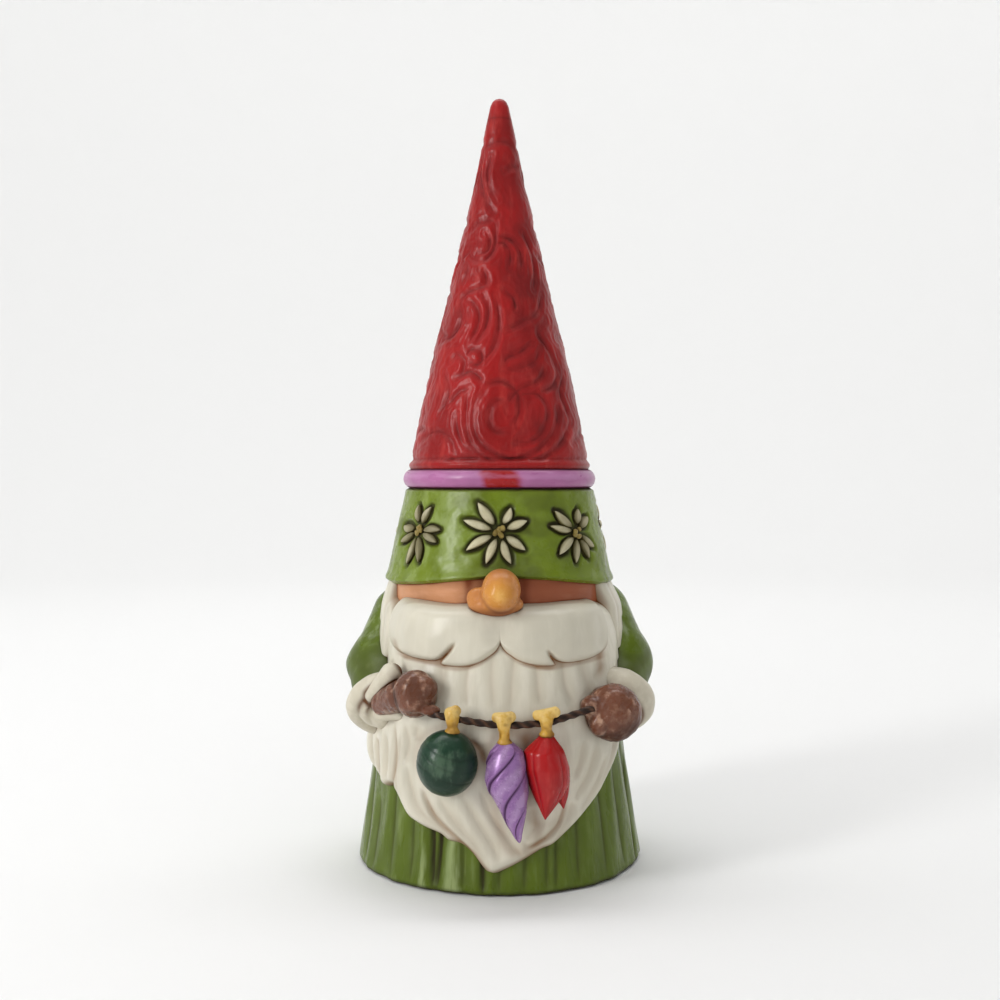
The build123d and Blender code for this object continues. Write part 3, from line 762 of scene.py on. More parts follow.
def make_petal(index, rng, petal):
    """One leaf-shaped petal: its vertices, upper face first, its faces and its layers."""
    along, across = 16, 11
    n = along * across
    angle, z0, most_stain, thickness = DAISIES[index]
    a, start, length, width = petal
    t = np.linspace(0, 1, along)[:, None]
    w = np.linspace(-1, 1, across)[None, :]
    half = width / 2 * np.sin(np.pi * np.clip(t**0.85 * 0.985 + 0.01, 0, 1)) ** 0.75
    side = half * w + 0.25 * rng.uniform(-1, 1) * np.sin(np.pi * t)
    reach = start + length * t + 0 * w
    crown = thickness * np.sqrt(np.maximum(1 - w**2, 0)) * (0.5 + 0.16 * np.sin(np.pi * t))
    crown = crown * np.sin(np.pi * np.clip(t * 0.92 + 0.06, 0, 1)) ** 0.4
    crease = 0.12 * bell(w, 0, 0.16) * (1 - t)
    u = reach * math.cos(a) - side * math.sin(a)
    v = reach * math.sin(a) + side * math.cos(a)
    top = on_cuff(angle, u, v, z0, -0.12 + crown - crease)
    under = on_cuff(angle, u, v, z0, -0.5 + 0 * crown)
    faces = []
    for layer in (0, n):
        for i in range(along - 1):
            for j in range(across - 1):
                p = layer + i * across + j
                faces.append([p, p + 1, p + across + 1, p + across])
    rim = [i * across for i in range(along)] + [(along - 1) * across + j for j in range(1, across)]
    rim += [i * across + across - 1 for i in range(along - 2, -1, -1)] + list(range(across - 2, 0, -1))
    faces += [[p, q, n + q, n + p] for p, q in zip(rim, rim[1:] + rim[:1])]
    stain = 0.1 + most_stain * rng.uniform(0.5, 1.3)
    wash = np.clip(1.1 * (np.abs(w) + 0 * t) ** 5 + np.exp(-t * 6) + stain, 0, 1).ravel() * 0.8
    layers = layers_of(np.concatenate([wash, wash]), np.repeat([0.6, 0.0], n))
    return np.vstack([top.reshape(-1, 3), under.reshape(-1, 3)]), faces, layers


def make_daisy(index):
    angle, z0, _, _ = DAISIES[index]
    rng = np.random.default_rng(200 + index)
    verts, faces, layers = join([make_petal(index, rng, petal) for petal in daisy_petals(index)])
    piece(f"daisy_{index + 1}_petals", verts, faces, "petal", (f"daisy_{index + 1}",), layers)
    spots = [(rng.uniform(-0.8, 0.8), rng.uniform(-0.8, 0.8)) for _ in range(9)]
    centres = [on_cuff(angle, np.array(u), np.array(v), z0, -0.05) for u, v in spots]

    def eye(x, y, z):
        f = ball_field(x, y, z, centres[0], 0.45)
        for centre in centres[1:]:
            f = blend_min(f, ball_field(x, y, z, centre, 0.42), 0.12)
        return f

    x, y = circle(angle, float(cuff_radius(z0)))
    middle = np.array([x, -y, z0])
    verts, quads = sculpt(eye, middle - 2.2, middle + 2.2, 0.16)
    layers = layers_of(0.0, 0.6, like=verts[:, 0])
    piece(f"daisy_{index + 1}_eye", verts, quads, "daisy_eye", (), layers)


# ---------------------------------------------------------------- robe
ROBE_GROOVES = [
    ((-28, 12), (-27, 6), (-26.3, 0)), ((-23.4, 12), (-24, 6), (-24.8, 0)), ((-6.4, 8), (-6.3, 0)),
    ((0.2, 8), (-0.2, 0)), ((19.2, 9), (18, 0)), ((23.4, 9), (22, 0)), ((47.3, 22), (47, 10), (46.6, 0)),
    ((72, 30), (75, 14), (74, 0)), ((-49.5, 16), (-49, 8), (-47, 0)), ((-76, 22), (-72, 9), (-70, 0)),
    ((-62, 12), (-60, 0)), ((-14.6, 8), (-14, 0)), ((33, 14), (32, 0)), ((60, 18), (61, 0)),
    ((-38, 12), (-36.5, 0)), ((10, 6), (9.5, 0)), ((86, 26), (88, 0)),
]
BACK_ANGLES = (-92, -101, -113, -119, -134, -146, -158, -172, 176, 163, 151, 140, 129, 123, 110, 99, 93)
BACK_GROOVES = [
    ((a, 40 - 6 * (i % 3)), (a + (1.5 if i % 2 else -1.5), 20), (a + (2 if i % 3 else -2), 0))
    for i, a in enumerate(BACK_ANGLES)
]
DARK_FOLDS = [
    ((-27.8, 11), (-27, 5), (-26.3, -0.5)), ((-23.6, 11), (-24, 5), (-24.8, -0.5)),
    ((-6.4, 5), (-6.2, -0.5)), ((78, 18), (75, 10), (74, -0.5)), ((-151, 16), (-152, 6), (-151, -0.5)),
    ((133, 20), (135, 8), (134, -0.5)),
]
# Angle, width and strength of the raised folds, which also carry a painted highlight
RAISED_HIGHLIT_FOLDS = ((-17.0, 4.6, 1.0), (-30.5, 2.6, 0.7), (-3.2, 1.5, 0.7))
ROBE_FOOT_Z = -0.69


def make_robe():
    def radius(T, Z):
        grooves = ROBE_GROOVES + BACK_GROOVES
        depth, wide, dark = (
            carve(T, Z, robe_radius, strokes, width, wrap=True)[0]
            for strokes, width in ((grooves, 0.3), (grooves, 1.3), (DARK_FOLDS, 0.4))
        )
        r0 = robe_radius(Z)
        x, y = circle(T, r0)
        swell = 0.5 * noise(x, y, Z, (3.6, 3.6, 18.0), 21, 2)
        low = ramp(Z, -0.7, 0.1)
        raised_highlit_fold = sum(strength * bell(T, angle, width) for angle, width, strength in RAISED_HIGHLIT_FOLDS) * ramp(Z, 15, 4)
        r = r0 + swell * (0.3 + 0.7 * ramp(Z, 46, 30)) - 0.14 * depth - 0.28 * wide - 0.35 * dark
        r = r - 0.35 * (1 - low) ** 2 + 0.35 * raised_highlit_fold * low
        # Painted highlight: the dry-brushed light is stronger on the lit front left, and more so low down
        lit_side_highlight = ramp(T, 0, -30) * ramp(T, -75, -45)
        lift = np.clip(0.35 + swell * 1.2 - wide, 0, 1) * (0.25 + 0.75 * lit_side_highlight) * ramp(Z, 40, 10)
        # Painted highlight along the raised folds
        lift = lift + 0.7 * raised_highlit_fold * (1 - dark) * (1 - depth)
        # Painted shade along the foot where the robe meets the floor, and at the top where it runs under the
        # face and hair
        wash = 0.45 * depth + 0.15 * wide + 0.9 * dark + 0.3 * (1 - low) + 0.5 * ramp(Z, 44, 49)
        return r, layers_of(wash, lift)

    rows = np.concatenate([[ROBE_FOOT_Z], np.linspace(-0.6, 3, 16), np.linspace(3.2, 49.5, 170)])
    verts, faces, layers = turned(460, rows, radius)
    # The middle of the underside is hollowed up to the felt pad
    verts[len(verts) - 2][2] = 0.0
    piece("robe", verts, faces, "robe", ("robe_body",), layers)


# ---------------------------------------------------------------- beard
BEARD_OUTLINE = (
    (-90, 24), (-91, 20.5), (-74, 17.2), (-60, 15.6), (-54, 14.4), (-47, 15.2), (-41.4, 12.7),
    (-37.2, 10.6), (-30.2, 9.4), (-23.2, 8.6), (-19.9, 7.7), (-15, 7.3), (-10.3, 5.8), (-6, 3.6),
    (-3.1, 2.7), (1.3, 3.2), (8.7, 4.7), (16.3, 6.4), (20.3, 6.9), (24.6, 8.1), (32, 10.5), (39.7, 13.3),
    (46.8, 16.4), (52.6, 19.4), (56.6, 22.3), (62, 27), (67, 33), (70, 40), (66, 45), (40, 46), (0, 46),
    (-40, 46), (-66, 45), (-72, 40), (-76, 33), (-84, 28),
)
# Creases that the painter filled with the darker tan
DEEP_STRANDS = [
    ((-46, 25.5), (-43.5, 20.8), (-44, 17.1), (-46.5, 14.8)), ((-63, 22), (-59, 19), (-55, 15.5)),
    ((-11, 24.6), (-7, 23), (-5, 20.8)), ((-29, 16), (-24, 11.7), (-17, 8.9), (-9, 5.6)),
    ((24, 14.5), (22.6, 11.1), (18.5, 9.0), (15, 7.9), (11, 7.2)),
]
STRANDS = DEEP_STRANDS[:4] + [
    ((-23, 38), (-23, 33.6), (-24, 30.8)), ((-12, 38), (-13, 33.1), (-12, 30.0)),
    ((-3, 38), (-3, 33.9), (-2, 30)), ((6, 38), (5, 33.9), (4, 29.4)), ((15, 38), (15, 33), (16, 30.2)),
    ((26, 37), (27, 32.4), (30, 30)), ((34, 37), (37, 33.1), (38, 30.3)),
    ((-54, 23.6), (-51, 20.2), (-49.5, 16.2)), ((-74, 24), (-70, 20.5), (-62, 16.5)),
    ((-40, 24.5), (-41, 21), (-42, 17.3), (-40, 13.3)), ((-7, 24), (-5, 22.3)),
    ((-36, 19.5), (-34, 16), (-30, 12.4), (-21, 9.6)), ((-22, 15), (-17, 11.7), (-10, 8), (-6, 4.8)),
    ((-13, 15.5), (-8, 11.6), (-3, 8.2), (0, 5)), ((-7, 16.8), (-3, 12.7), (3, 8.9), (8, 5.8)),
    ((24, 14.5), (22.6, 11.1), (18.5, 9.0), (15, 7.9), (11, 7.2), (8, 8.5)),
    ((27, 14.3), (25.5, 11.3), (21, 8.2)), ((44, 20.8), (38, 16.2), (30, 12.1)),
    ((39, 22.8), (35, 18.5), (28, 14.7)), ((33, 23.8), (31, 20.5), (28, 17.8)),
    ((-38, 26), (-36, 23), (-37, 19.8)), ((-32, 26.3), (-33, 23.9)),
    ((-44, 35.7), (-38, 33.1), (-27, 32.1)), ((48, 35.7), (40, 33.1)), ((50, 24), (46, 19.5), (40, 15.8)),
    ((-18, 13), (-13, 9.6), (-7, 6.6)), ((12, 14), (13, 11), (10, 8.2)),
    ((-27, 13.2), (-20, 10.1), (-13, 7.6)), ((58, 33), (56, 28), (53, 23)), ((62, 36), (61, 30)),
    ((-56, 36), (-52, 32)), ((-64, 37), (-62, 32)),
]
BALL_CENTRE = (-8.4, -26.7, 21.3)


def beard_relief(T, Z):
    return [
        carve(T, Z, beard_radius, strokes, width)[0]
        for strokes, width in ((STRANDS, 0.42), (STRANDS, 1.25), (DEEP_STRANDS, 0.5))
    ]


def beard_halo(x, z):
    """Tan wash that the painter left round the ornaments."""
    ball_gap = np.hypot(x - BALL_CENTRE[0], z - BALL_CENTRE[2]) - 5.2
    drop_gap, _ = line_distance(x, z, np.array([(1.2, 23.0), (1.4, 18.5), (2.6, 12.5), (3.4, 9.4)]))
    bud_gap, _ = line_distance(x, z, np.array([(7.5, 25.0), (7.6, 20.0), (7.4, 14.0)]))
    return bell(ball_gap, 0, 0.7) + bell(drop_gap, 3.0, 0.9) + 0.6 * bell(bud_gap, 3.2, 0.7)


def make_beard():
    def base(Z):
        return robe_radius(Z) - 0.6

    def edge(T, Z):
        return 2.3

    def height(T, Z):
        fine, broad, deep = beard_relief(T, Z)
        side = np.interp(T, [-95, -62, -46, -38, 50, 75], [1.6, 2.0, 3.0, 4.2, 4.2, 2.2])
        full = np.minimum(beard_radius(Z) - robe_radius(Z) + 0.6, side + 0.6)
        x, y = circle(T, 9)
        waves = 0.16 * noise(x, y, Z / 14, 1, 41, 2)
        soft = 0.55 + 0.45 * ramp(Z, 27, 22)
        return full + waves - (0.2 * fine + 0.42 * broad) * soft - 0.35 * deep

    spans = ((-98, 78), (1.5, 48), (17, 28.2))
    verts, quads, angle, z = shell(BEARD_OUTLINE, height, base, edge, spans, 0.25)
    x = verts[:, 0]
    fine, broad, deep = beard_relief(angle, z)
    rim = ramp(patch_depth(angle, z, BEARD_OUTLINE), 1.1, 0.0)
    patch = np.exp(-(((x - 4.6) / 1.6) ** 2) - ((z - 25.0) / 1.3) ** 2)
    # Painted shade on the beard just under the cord
    cord_z = np.interp(x, [-11.4, -5.0, 1.2, 8.2, 15.2], [29.0, 28.1, 27.5, 27.9, 29.5]) - 0.5
    shade_under_cord = bell(z, cord_z, 0.9) * ramp(np.abs(x - 1.5), 13, 10)
    # Brown line along the moustache's lower edge
    line = np.maximum(*(ramp(patch_depth(angle, z, MOUSTACHES[side][0]), -0.05, 0.5) for side in SIDES))
    line = line * ramp(np.abs(angle), 54, 42) * ramp(z, 40, 39)
    line = line * (0.6 + 0.4 * ramp(value_noise(x / 2.5, z / 2.5, 0 * z, 44), -0.5, 0.4))
    # Painted shade on the beard's edge beside the right fur cuff
    shade_by_cuff = bell(x, 16.9, 0.7) * ramp(z, 33, 35) * ramp(z, 40.5, 38.5)
    wash = 0.12 * fine + 0.06 * broad + 0.5 * deep + 0.85 * rim + 0.05 * ramp(z, 20, 6)
    wash = wash + 0.3 * beard_halo(x, z) + 0.6 * patch + 0.35 * shade_under_cord + 0.85 * line + 0.6 * shade_by_cuff
    piece("beard", verts, quads, "beard", ("beard",), layers_of(wash, 0.9 - broad))


# ---------------------------------------------------------------- moustache and hair
# Each side's outline, the crease between its two curls, and the folds in its face
MOUSTACHES = {
    -1: (
        (
            (2.0, 45.4), (1.8, 43.6), (1.3, 41.4), (0.4, 39.0), (-3, 37.5), (-8, 36.1), (-15, 35.3),
            (-22, 35.4), (-28, 35.9), (-37, 36.3), (-46, 36.6), (-54.5, 37.1), (-61.5, 38.4), (-65, 42.0),
            (-62, 45.9), (-48, 46.3), (-33, 46.1), (-23, 46), (-16, 46.1), (-8, 46.0),
        ),
        [((-17.5, 40), (-21, 38.3), (-25, 36.9), (-30, 36.4), (-38, 36.6))],
        [
            ((-6, 43), (-14, 41.5), (-22, 40.8)), ((-30, 45), (-34, 41), (-30, 38)),
            ((-45, 44), (-47, 41), (-43, 38.5)),
        ],
    ),
    1: (
        (
            (0.4, 39.0), (-0.7, 41.4), (-1.2, 43.6), (-1.4, 45.4), (9, 46.0), (19, 46.1), (30, 46.2),
            (44, 46.2), (54, 45.9), (58.5, 43.0), (58, 39.4), (53.5, 36.9), (43, 36.1), (34, 35.8),
            (27, 35.5), (21, 35.3), (14, 35.6), (8, 36.4), (4, 37.5),
        ),
        [((19, 38.8), (23, 36.9), (30, 35.9), (37, 35.9))],
        [((6, 43), (14, 41.5), (22, 41)), ((32, 45), (35, 41), (32, 38)), ((46, 44), (47, 41), (44, 38.5))],
    ),
}


def make_moustache(side):
    outline, creases, folds = MOUSTACHES[side]
    name = f"moustache_{SIDES[side]}"

    def base(Z):
        return robe_radius(Z) + 0.2

    def edge(T, Z):
        return 1.9 - 1.6 * ramp(np.abs(T), 9, 3) * ramp(Z, 38.8, 40.6)

    def height(T, Z):
        crease, _ = carve(T, Z, moustache_radius, creases, 0.4)
        fold, _ = carve(T, Z, moustache_radius, folds, 1.4)
        crown = 4.75 - 0.045 * np.abs(Z - 41.0) ** 1.7 - 0.4 * ramp(Z, 43.5, 46.2)
        tail = 2.4 * ramp(np.abs(T), 34, 63) if side < 0 else 1.6 * ramp(np.abs(T), 34, 60)
        valley = 1.0 * bell(T, 0.3, 7) * ramp(Z, 38.6, 41)
        return crown - tail - valley - 1.1 * crease - 0.2 * fold

    spans = ((-70, 6) if side < 0 else (-4, 65), (33.5, 48.5), (15, 26.8))
    verts, quads, angle, z = shell(outline, height, base, edge, spans, 0.22)
    crease, _ = carve(angle, z, moustache_radius, creases, 0.32)
    # The painter's brown line lies where the moustache meets the beard, and faintly along the top
    stand = np.hypot(verts[:, 0], verts[:, 1]) - np.minimum(beard_radius(z), robe_radius(z) + 4.2)
    line = np.maximum(ramp(stand, 0.55, 0.1), ramp(patch_depth(angle, z, outline), 0.3, 0.0))
    line = line * ramp(np.abs(angle), 58, 44)
    line = line * np.maximum(ramp(z, 40.2, 39.2), ramp(z, 44.9, 45.6) * 0.4)
    piece(name, verts, quads, "beard", (name,), layers_of(0.9 * crease + 0.9 * line, 0.25))


HAIR_LOCKS = {
    -1: (
        (-71, 49.8), (-71.5, 46.4), (-64, 44.5), (-60, 38), (-66, 34), (-78, 33), (-84, 38), (-88, 43),
        (-92, 47), (-94, 50.5), (-75, 51),
    ),
    1: (
        (61, 49.8), (63, 45), (62.5, 41), (64, 37.2), (70, 35.0), (79, 36), (86, 39), (91, 43), (95, 47),
        (97, 50.5), (78, 51),
    ),
}
HAIR_STRANDS = (
    ((70, 50), (71, 44), (68, 38)), ((79, 50), (80, 44), (76, 37.5)), ((88, 50), (87, 45), (83, 40)),
)


def make_hair(side):
    outline = HAIR_LOCKS[side]
    name = f"hair_lock_{SIDES[side]}"
    strands = [[(side * angle, z) for angle, z in strand] for strand in HAIR_STRANDS]

    def base(Z):
        return robe_radius(Z) - 0.4

    def edge(T, Z):
        return 1.9

    def height(T, Z):
        fine, _ = carve(T, Z, robe_radius, strands, 0.5)
        return 2.0 + (0.8 if side < 0 else 1.5) * ramp(Z, 50, 44) - 0.2 * fine

    spans = ((-100, -52) if side < 0 else (54, 102), (31, 52.5), (15.5, 23.5))
    verts, quads, angle, z = shell(outline, height, base, edge, spans, 0.22)
    fine, _ = carve(angle, z, robe_radius, strands, 0.4)
    wash = 0.15 * fine + 0.7 * ramp(patch_depth(angle, z, outline), 0.9, 0.1)
    piece(name, verts, quads, "beard", (name,), layers_of(wash, 0.5))


# ---------------------------------------------------------------- face and nose
FACE_OUTLINE = (
    (-71.5, 45.0), (-71, 49.8), (-30, 50.6), (0, 51), (30, 50.6), (65, 49.8), (64, 44.8), (30, 44.2),
    (0, 43.6), (-30, 44.2),
)


def make_face():
    def base(Z):
        return 17.3 + 0 * Z

    def edge(T, Z):
        return 0.7

    def height(T, Z):
        x, y = circle(T, 5)
        return 1.7 + 0.1 * noise(x, y, Z / 5, 1, 61, 2) + 0.45 * bell(np.abs(T), 22, 12)

    spans = ((-76, 72), (42.5, 52.5), (14.5, 20.6))
    verts, quads, angle, z = shell(FACE_OUTLINE, height, base, edge, spans, 0.25)
    # The right half takes the darker second paint and less highlight, partly its own tone and partly painted
    # shade; painted shade also lies under the cuff, above the moustache, at the ends under the hair and
    # beside the nose
    right_tone_and_shade = ramp(angle, -14, 16)
    ends = np.maximum(ramp(angle, 62.0, 64.5), ramp(-angle, 69.0, 71.0))
    beside_nose = 0.7 * bell(angle, -15.5, 2.2) + 0.6 * bell(angle, 12.5, 2.2)
    wash = 0.4 * ramp(z, 47.8, 49.6) + 0.6 * ends + 0.3 * ramp(z, 46.0, 44.8) + beside_nose
    layers = layers_of(wash, 0.6 * (1 - right_tone_and_shade), mask=right_tone_and_shade)
    piece("face", verts, quads, "face", ("face_strip",), layers)


def nose_parts(x, y, z):
    """The nose's ball, and the nostrils with the cheek at its left."""
    core = oval_field(x, y, z, (0.3, -22.2, 48.65), (3.2, 4.0, 3.5))
    wings = oval_field(x, y, z, (-0.6, -21.2, 46.2), (4.5, 2.9, 2.0))
    cheek = oval_field(x, y, z, (-3.2, -20.6, 47.3), (2.2, 1.6, 1.7))
    return core, blend_min(wings, cheek, 0.8)


def make_nose():
    def field(x, y, z):
        core, wings = nose_parts(x, y, z)
        tip = oval_field(x, y, z, (0.1, -23.4, 47.8), (2.8, 3.1, 2.7))
        return blend_min(blend_min(core, tip, 0.7), wings, 0.75) + 0.07 * noise(x, y, z, 1.7, 71, 2)

    verts, quads = sculpt(field, (-8, -27.5, 43), (7, -17, 55), 0.22)
    x, y, z = verts.T
    core, wings = nose_parts(x, y, z)
    seam = bell(core - wings, 0, 0.45) * ramp(z, 49.0, 48.0)
    # A painted highlight on the middle of the ball with the darker second paint round it, and painted shade
    # under the nose and along its top under the cuff
    highlight_spot = np.hypot(x + 0.1, z - 48.3)
    mask = 0.36 + 0.28 * np.maximum(ramp(highlight_spot, 0.5, 3.8), ramp(core - wings, -0.6, 0.8))
    wash = 0.6 * ramp(z, 46.2, 44.9) + 0.4 * seam + 0.35 * ramp(z, 50.6, 52.2)
    layers = layers_of(wash, np.exp(-(highlight_spot**2) / 3.0), mask=mask)
    piece("nose", verts, quads, "nose", ("nose",), layers)


# ---------------------------------------------------------------- arms
# The left arm's joints, mirrored for the right arm
SHOULDER, ELBOW, WRIST = (-18.2, 2.5, 41.8), (-20.9, -3.0, 34.3), (-19.6, -10.5, 28.6)
LEFT_HAND, RIGHT_HAND = (-13.8, -22.6, 31.7), (18.8, -20.2, 28.2)


def on_side(point, side):
    """A left-hand point, or its mirror image for the right."""
    return np.array((point[0] * -side, point[1], point[2]))


def forearm(side):
    """Elbow, wrist and the direction from one to the other."""
    elbow, wrist = on_side(ELBOW, side), on_side(WRIST, side)
    axis = wrist - elbow
    return elbow, wrist, axis / np.linalg.norm(axis)


def make_sleeve(side):
    shoulder = on_side(SHOULDER, side)
    elbow, wrist, axis = forearm(side)
    name = f"sleeve_{SIDES[side]}"
    slimmer = 0.7 if side < 0 else 0.0

    def fold(x, y, z):
        return np.sin(1.15 * (z - 0.55 * y) + 0.5 * np.abs(x)) * ramp(y, 2, -8)

    def field(x, y, z):
        upper = bar_field(x, y, z, shoulder, elbow, 5.7, 6.1)
        lower = bar_field(x, y, z, elbow, wrist, 6.1, 5.6)
        f = blend_min(upper, lower, 1.5)
        f = blend_min(f, ball_field(x, y, z, on_side((-17.2, 3.5, 43.6), side), 4.6), 2.0)
        f = f + slimmer * ramp(z, 33, 38) + 0.13 * fold(x, y, z) + 0.12 * noise(x, y, z, 2.8, 81 + side, 2)
        past_wrist = (x - wrist[0]) * axis[0] + (y - wrist[1]) * axis[1] + (z - wrist[2]) * axis[2]
        return np.maximum(np.maximum(f, z - 49.2), past_wrist - 0.2)

    low, high = ((-29, -19, 20), (-9, 12, 51)) if side < 0 else ((9, -19, 20), (29, 12, 51))
    verts, quads = sculpt(field, low, high, 0.3)
    x, y, z = verts.T
    # Painted shade on the inner side against the body and low on the front; the left sleeve, on the lit side,
    # gets more painted highlight than the right
    inner = ramp(np.abs(x), 21.5, 19.0) * ramp(y, -2, -8)
    wash = 0.3 * ramp(fold(x, y, z), 0.3, 1.0) + 0.6 * inner
    wash = wash + 0.35 * ramp(z, 36, 32) * ramp(y, 0, -6)
    lift = np.clip(0.2 - 0.4 * fold(x, y, z) + 0.4 * bell(z, 41, 4), 0, 1) * (0.5 if side < 0 else 0.15)
    piece(name, verts, quads, "robe", (name,), layers_of(wash, lift))


def fur_tongue(x, y, z):
    """Fur that folds over the left wrist, and the pad under it."""
    over = bar_field(x, y, z, (-21.6, -16.0, 30.3), (-18.0, -18.5, 34.4), 1.1, 1.8)
    return np.minimum(over, bar_field(x, y, z, (-20.0, -15.8, 27.2), (-16.4, -18.2, 27.8), 1.3, 1.3))


def make_fur(side):
    _, wrist, axis = forearm(side)
    name = f"fur_cuff_{SIDES[side]}"
    # An outer roll at the sleeve's end and an inner one before it: place, axis, radius and thickness
    if side < 0:
        centre, front = wrist + 0.9 * axis, wrist + (np.array([-0.5, 0, 1.1]) + 2.3 * axis)
        rings = ((centre, axis, 4.75, 2.15), (front, axis + np.array([0.35, 0, 0.15]), 3.0, 1.6))
    else:
        centre, front = wrist + 0.9 * axis + np.array([0, 0, 0.5]), wrist + 2.6 * axis
        rings = ((centre, axis, 4.8, 2.5), (front, axis + np.array([0.0, 0, 0.15]), 3.8, 1.5))

    def rolls(x, y, z):
        outer, h, flat = ring_field(x, y, z, *rings[0])
        return outer, ring_field(x, y, z, *rings[1])[0], h, flat

    def field(x, y, z):
        outer, inner, _, _ = rolls(x, y, z)
        if side < 0:
            inner = blend_min(inner, fur_tongue(x, y, z), 0.35)
        plug = bar_field(x, y, z, wrist - 2 * axis, wrist + 1.2 * axis, 4.9, 4.2)
        f = blend_min(blend_min(outer, plug, 0.3), inner, 0.12 if side < 0 else 0.5)
        return f + 0.11 * noise(x, y, z, 2.2, 91, 2)

    reach = 9.5
    verts, quads = sculpt(field, centre - reach, centre + reach, 0.25)
    x, y, z = verts.T
    outer, inner, h, flat = rolls(x, y, z)
    # A brown line in the seam between the rolls, painted shade inside the ring's opening and on its back
    # against the sleeve
    wash = 0.9 * bell(outer - inner, 0, 0.4) * ramp(h, 0.0, 1.2)
    wash = wash + ramp(flat, 2.9, 1.9) + 0.5 * ramp(h, -1.2, -2.2)
    if side < 0:
        # Brown in the seam behind the tongue, painted shade at its end where it meets the beard, and none on
        # the tongue or low down
        tongue = fur_tongue(x, y, z)
        wash = wash * ramp(tongue, 0.1, 0.7) + 0.9 * bell(outer - tongue, 0, 0.45) * ramp(h, 0.5, 1.5)
        end = 0.8 * (x + 18.0) + 0.6 * (z - 34.4)
        wash = wash * ramp(z, 26.0, 28.0) + 0.8 * ramp(end, 1.1, 1.7) * ramp(y, -15.0, -17.0)
    piece(name, verts, quads, "fur", (name,), layers_of(wash, 0.5))


def furry(x, y, z, seed):
    """Short slanting tufts of fur."""
    u, w = x - 0.5 * z, z + 0.5 * x
    tufts = 0.15 * noise(u, y, w, (1.1, 1.1, 2.2), seed, 2)
    return tufts + 0.05 * noise(u, y, w, (0.5, 0.4, 0.7), seed + 5, 2)


def make_mitten(name, wrist_field, knobs, seed, low, high, looks):
    """A furry mitten. knobs are ovals: centre, radii and the fillet with what comes before.
    looks(x, z, tufts) gives its wash and highlight."""

    def field(x, y, z):
        f = wrist_field(x, y, z)
        for centre, radii, fillet in knobs:
            f = blend_min(f, oval_field(x, y, z, centre, radii), fillet)
        return f + furry(x, y, z, seed)

    verts, quads = sculpt(field, low, high, 0.2)
    x, y, z = verts.T
    layers = layers_of(*looks(x, z, furry(x, y, z, seed)))
    piece(name, verts, quads, "mitten", (name,), layers)


def make_left_mitten():
    def wrist(x, y, z):
        return bar_field(x, y, z, (-19.4, -16.4, 29.2), (-16.4, -20.6, 31.0), 2.3, 2.6)

    def looks(x, z, tufts):
        # Lighter towards the top, a painted highlight
        tuck = bell(x, -16.9 - 0.25 * (z - 31), 0.35)
        return 0.7 * tuck + 1.6 * tufts, 0.15 - 4.2 * tufts + 0.2 * (z - 31) / 4

    knobs = (
        (LEFT_HAND, (3.5, 3.6, 3.9), 0.2), ((-11.9, -24.0, 32.9), (1.9, 1.9, 1.9), 0.4),
        ((-13.6, -25.0, 30.6), (2.0, 1.5, 1.6), 0.3), ((-11.2, -25.3, 29.5), (1.7, 1.0, 0.8), 0.4),
    )
    make_mitten("mitten_left", wrist, knobs, 101, (-24, -28.5, 24), (-7.5, -12, 37), looks)


def make_right_mitten():
    def wrist(x, y, z):
        return bar_field(x, y, z, (19.6, -12.5, 28.2), RIGHT_HAND, 3.2, 3.4)

    def looks(x, z, tufts):
        # Painted shade low on the right and a painted highlight towards the left
        under = ramp(z + 0.3 * (19 - x), 28.5, 24)
        return 1.6 * tufts + 0.6 * under, 0.1 - 4.2 * tufts + 0.3 * ramp(x, 19, 15)

    knobs = (
        (RIGHT_HAND, (4.75, 4.4, 4.75), 0.3), ((15.2, -22.0, 29.6), (1.9, 2.0, 1.8), 0.35),
        ((16.3, -23.1, 26.9), (1.7, 1.5, 2.0), 0.4),
    )
    make_mitten("mitten_right", wrist, knobs, 131, (11, -28, 21.5), (25.5, -9, 34.5), looks)


# ---------------------------------------------------------------- garland
CORD_ROUTE = (
    (-11.4, -25.2, 29.0), (-8.4, -26.5, 28.6), (-5.0, -27.1, 28.1), (-1.6, -27.6, 27.7), (1.2, -27.7, 27.5),
    (4.6, -27.3, 27.6), (8.2, -26.7, 27.9), (11.2, -25.6, 28.6), (15.2, -23.6, 29.5),
)


def make_cord():
    """A cord of two strands twisted together."""
    radius, around, swell = 0.56, 16, 0.13
    twist = 3.2  # radians of the strands' pattern for each millimetre
    path = curve_through(CORD_ROUTE, 14)
    ahead = np.gradient(path, axis=0)
    ahead /= np.linalg.norm(ahead, axis=1)[:, None]
    side = np.cross(ahead, np.array([0, 0, 1.0]))
    side /= np.linalg.norm(side, axis=1)[:, None]
    over = np.cross(side, ahead)
    phi = np.arange(around) * 2 * np.pi / around
    run = np.concatenate([[0], np.cumsum(np.linalg.norm(np.diff(path, axis=0), axis=1))])
    strands = np.cos(2 * phi[None, :] + twist * run[:, None])
    r = radius * (1 + swell * strands)
    ring = np.cos(phi)[None, :, None] * side[:, None] + np.sin(phi)[None, :, None] * over[:, None]
    verts = path[:, None] + r[..., None] * ring
    groove = (0.5 - 0.5 * strands).ravel()
    faces = tube_faces(len(path), around)
    layers = layers_of(groove * 0.8, 1 - groove)
    piece("garland_cord", verts.reshape(-1, 3), faces, "cord", ("garland_cord",), layers)


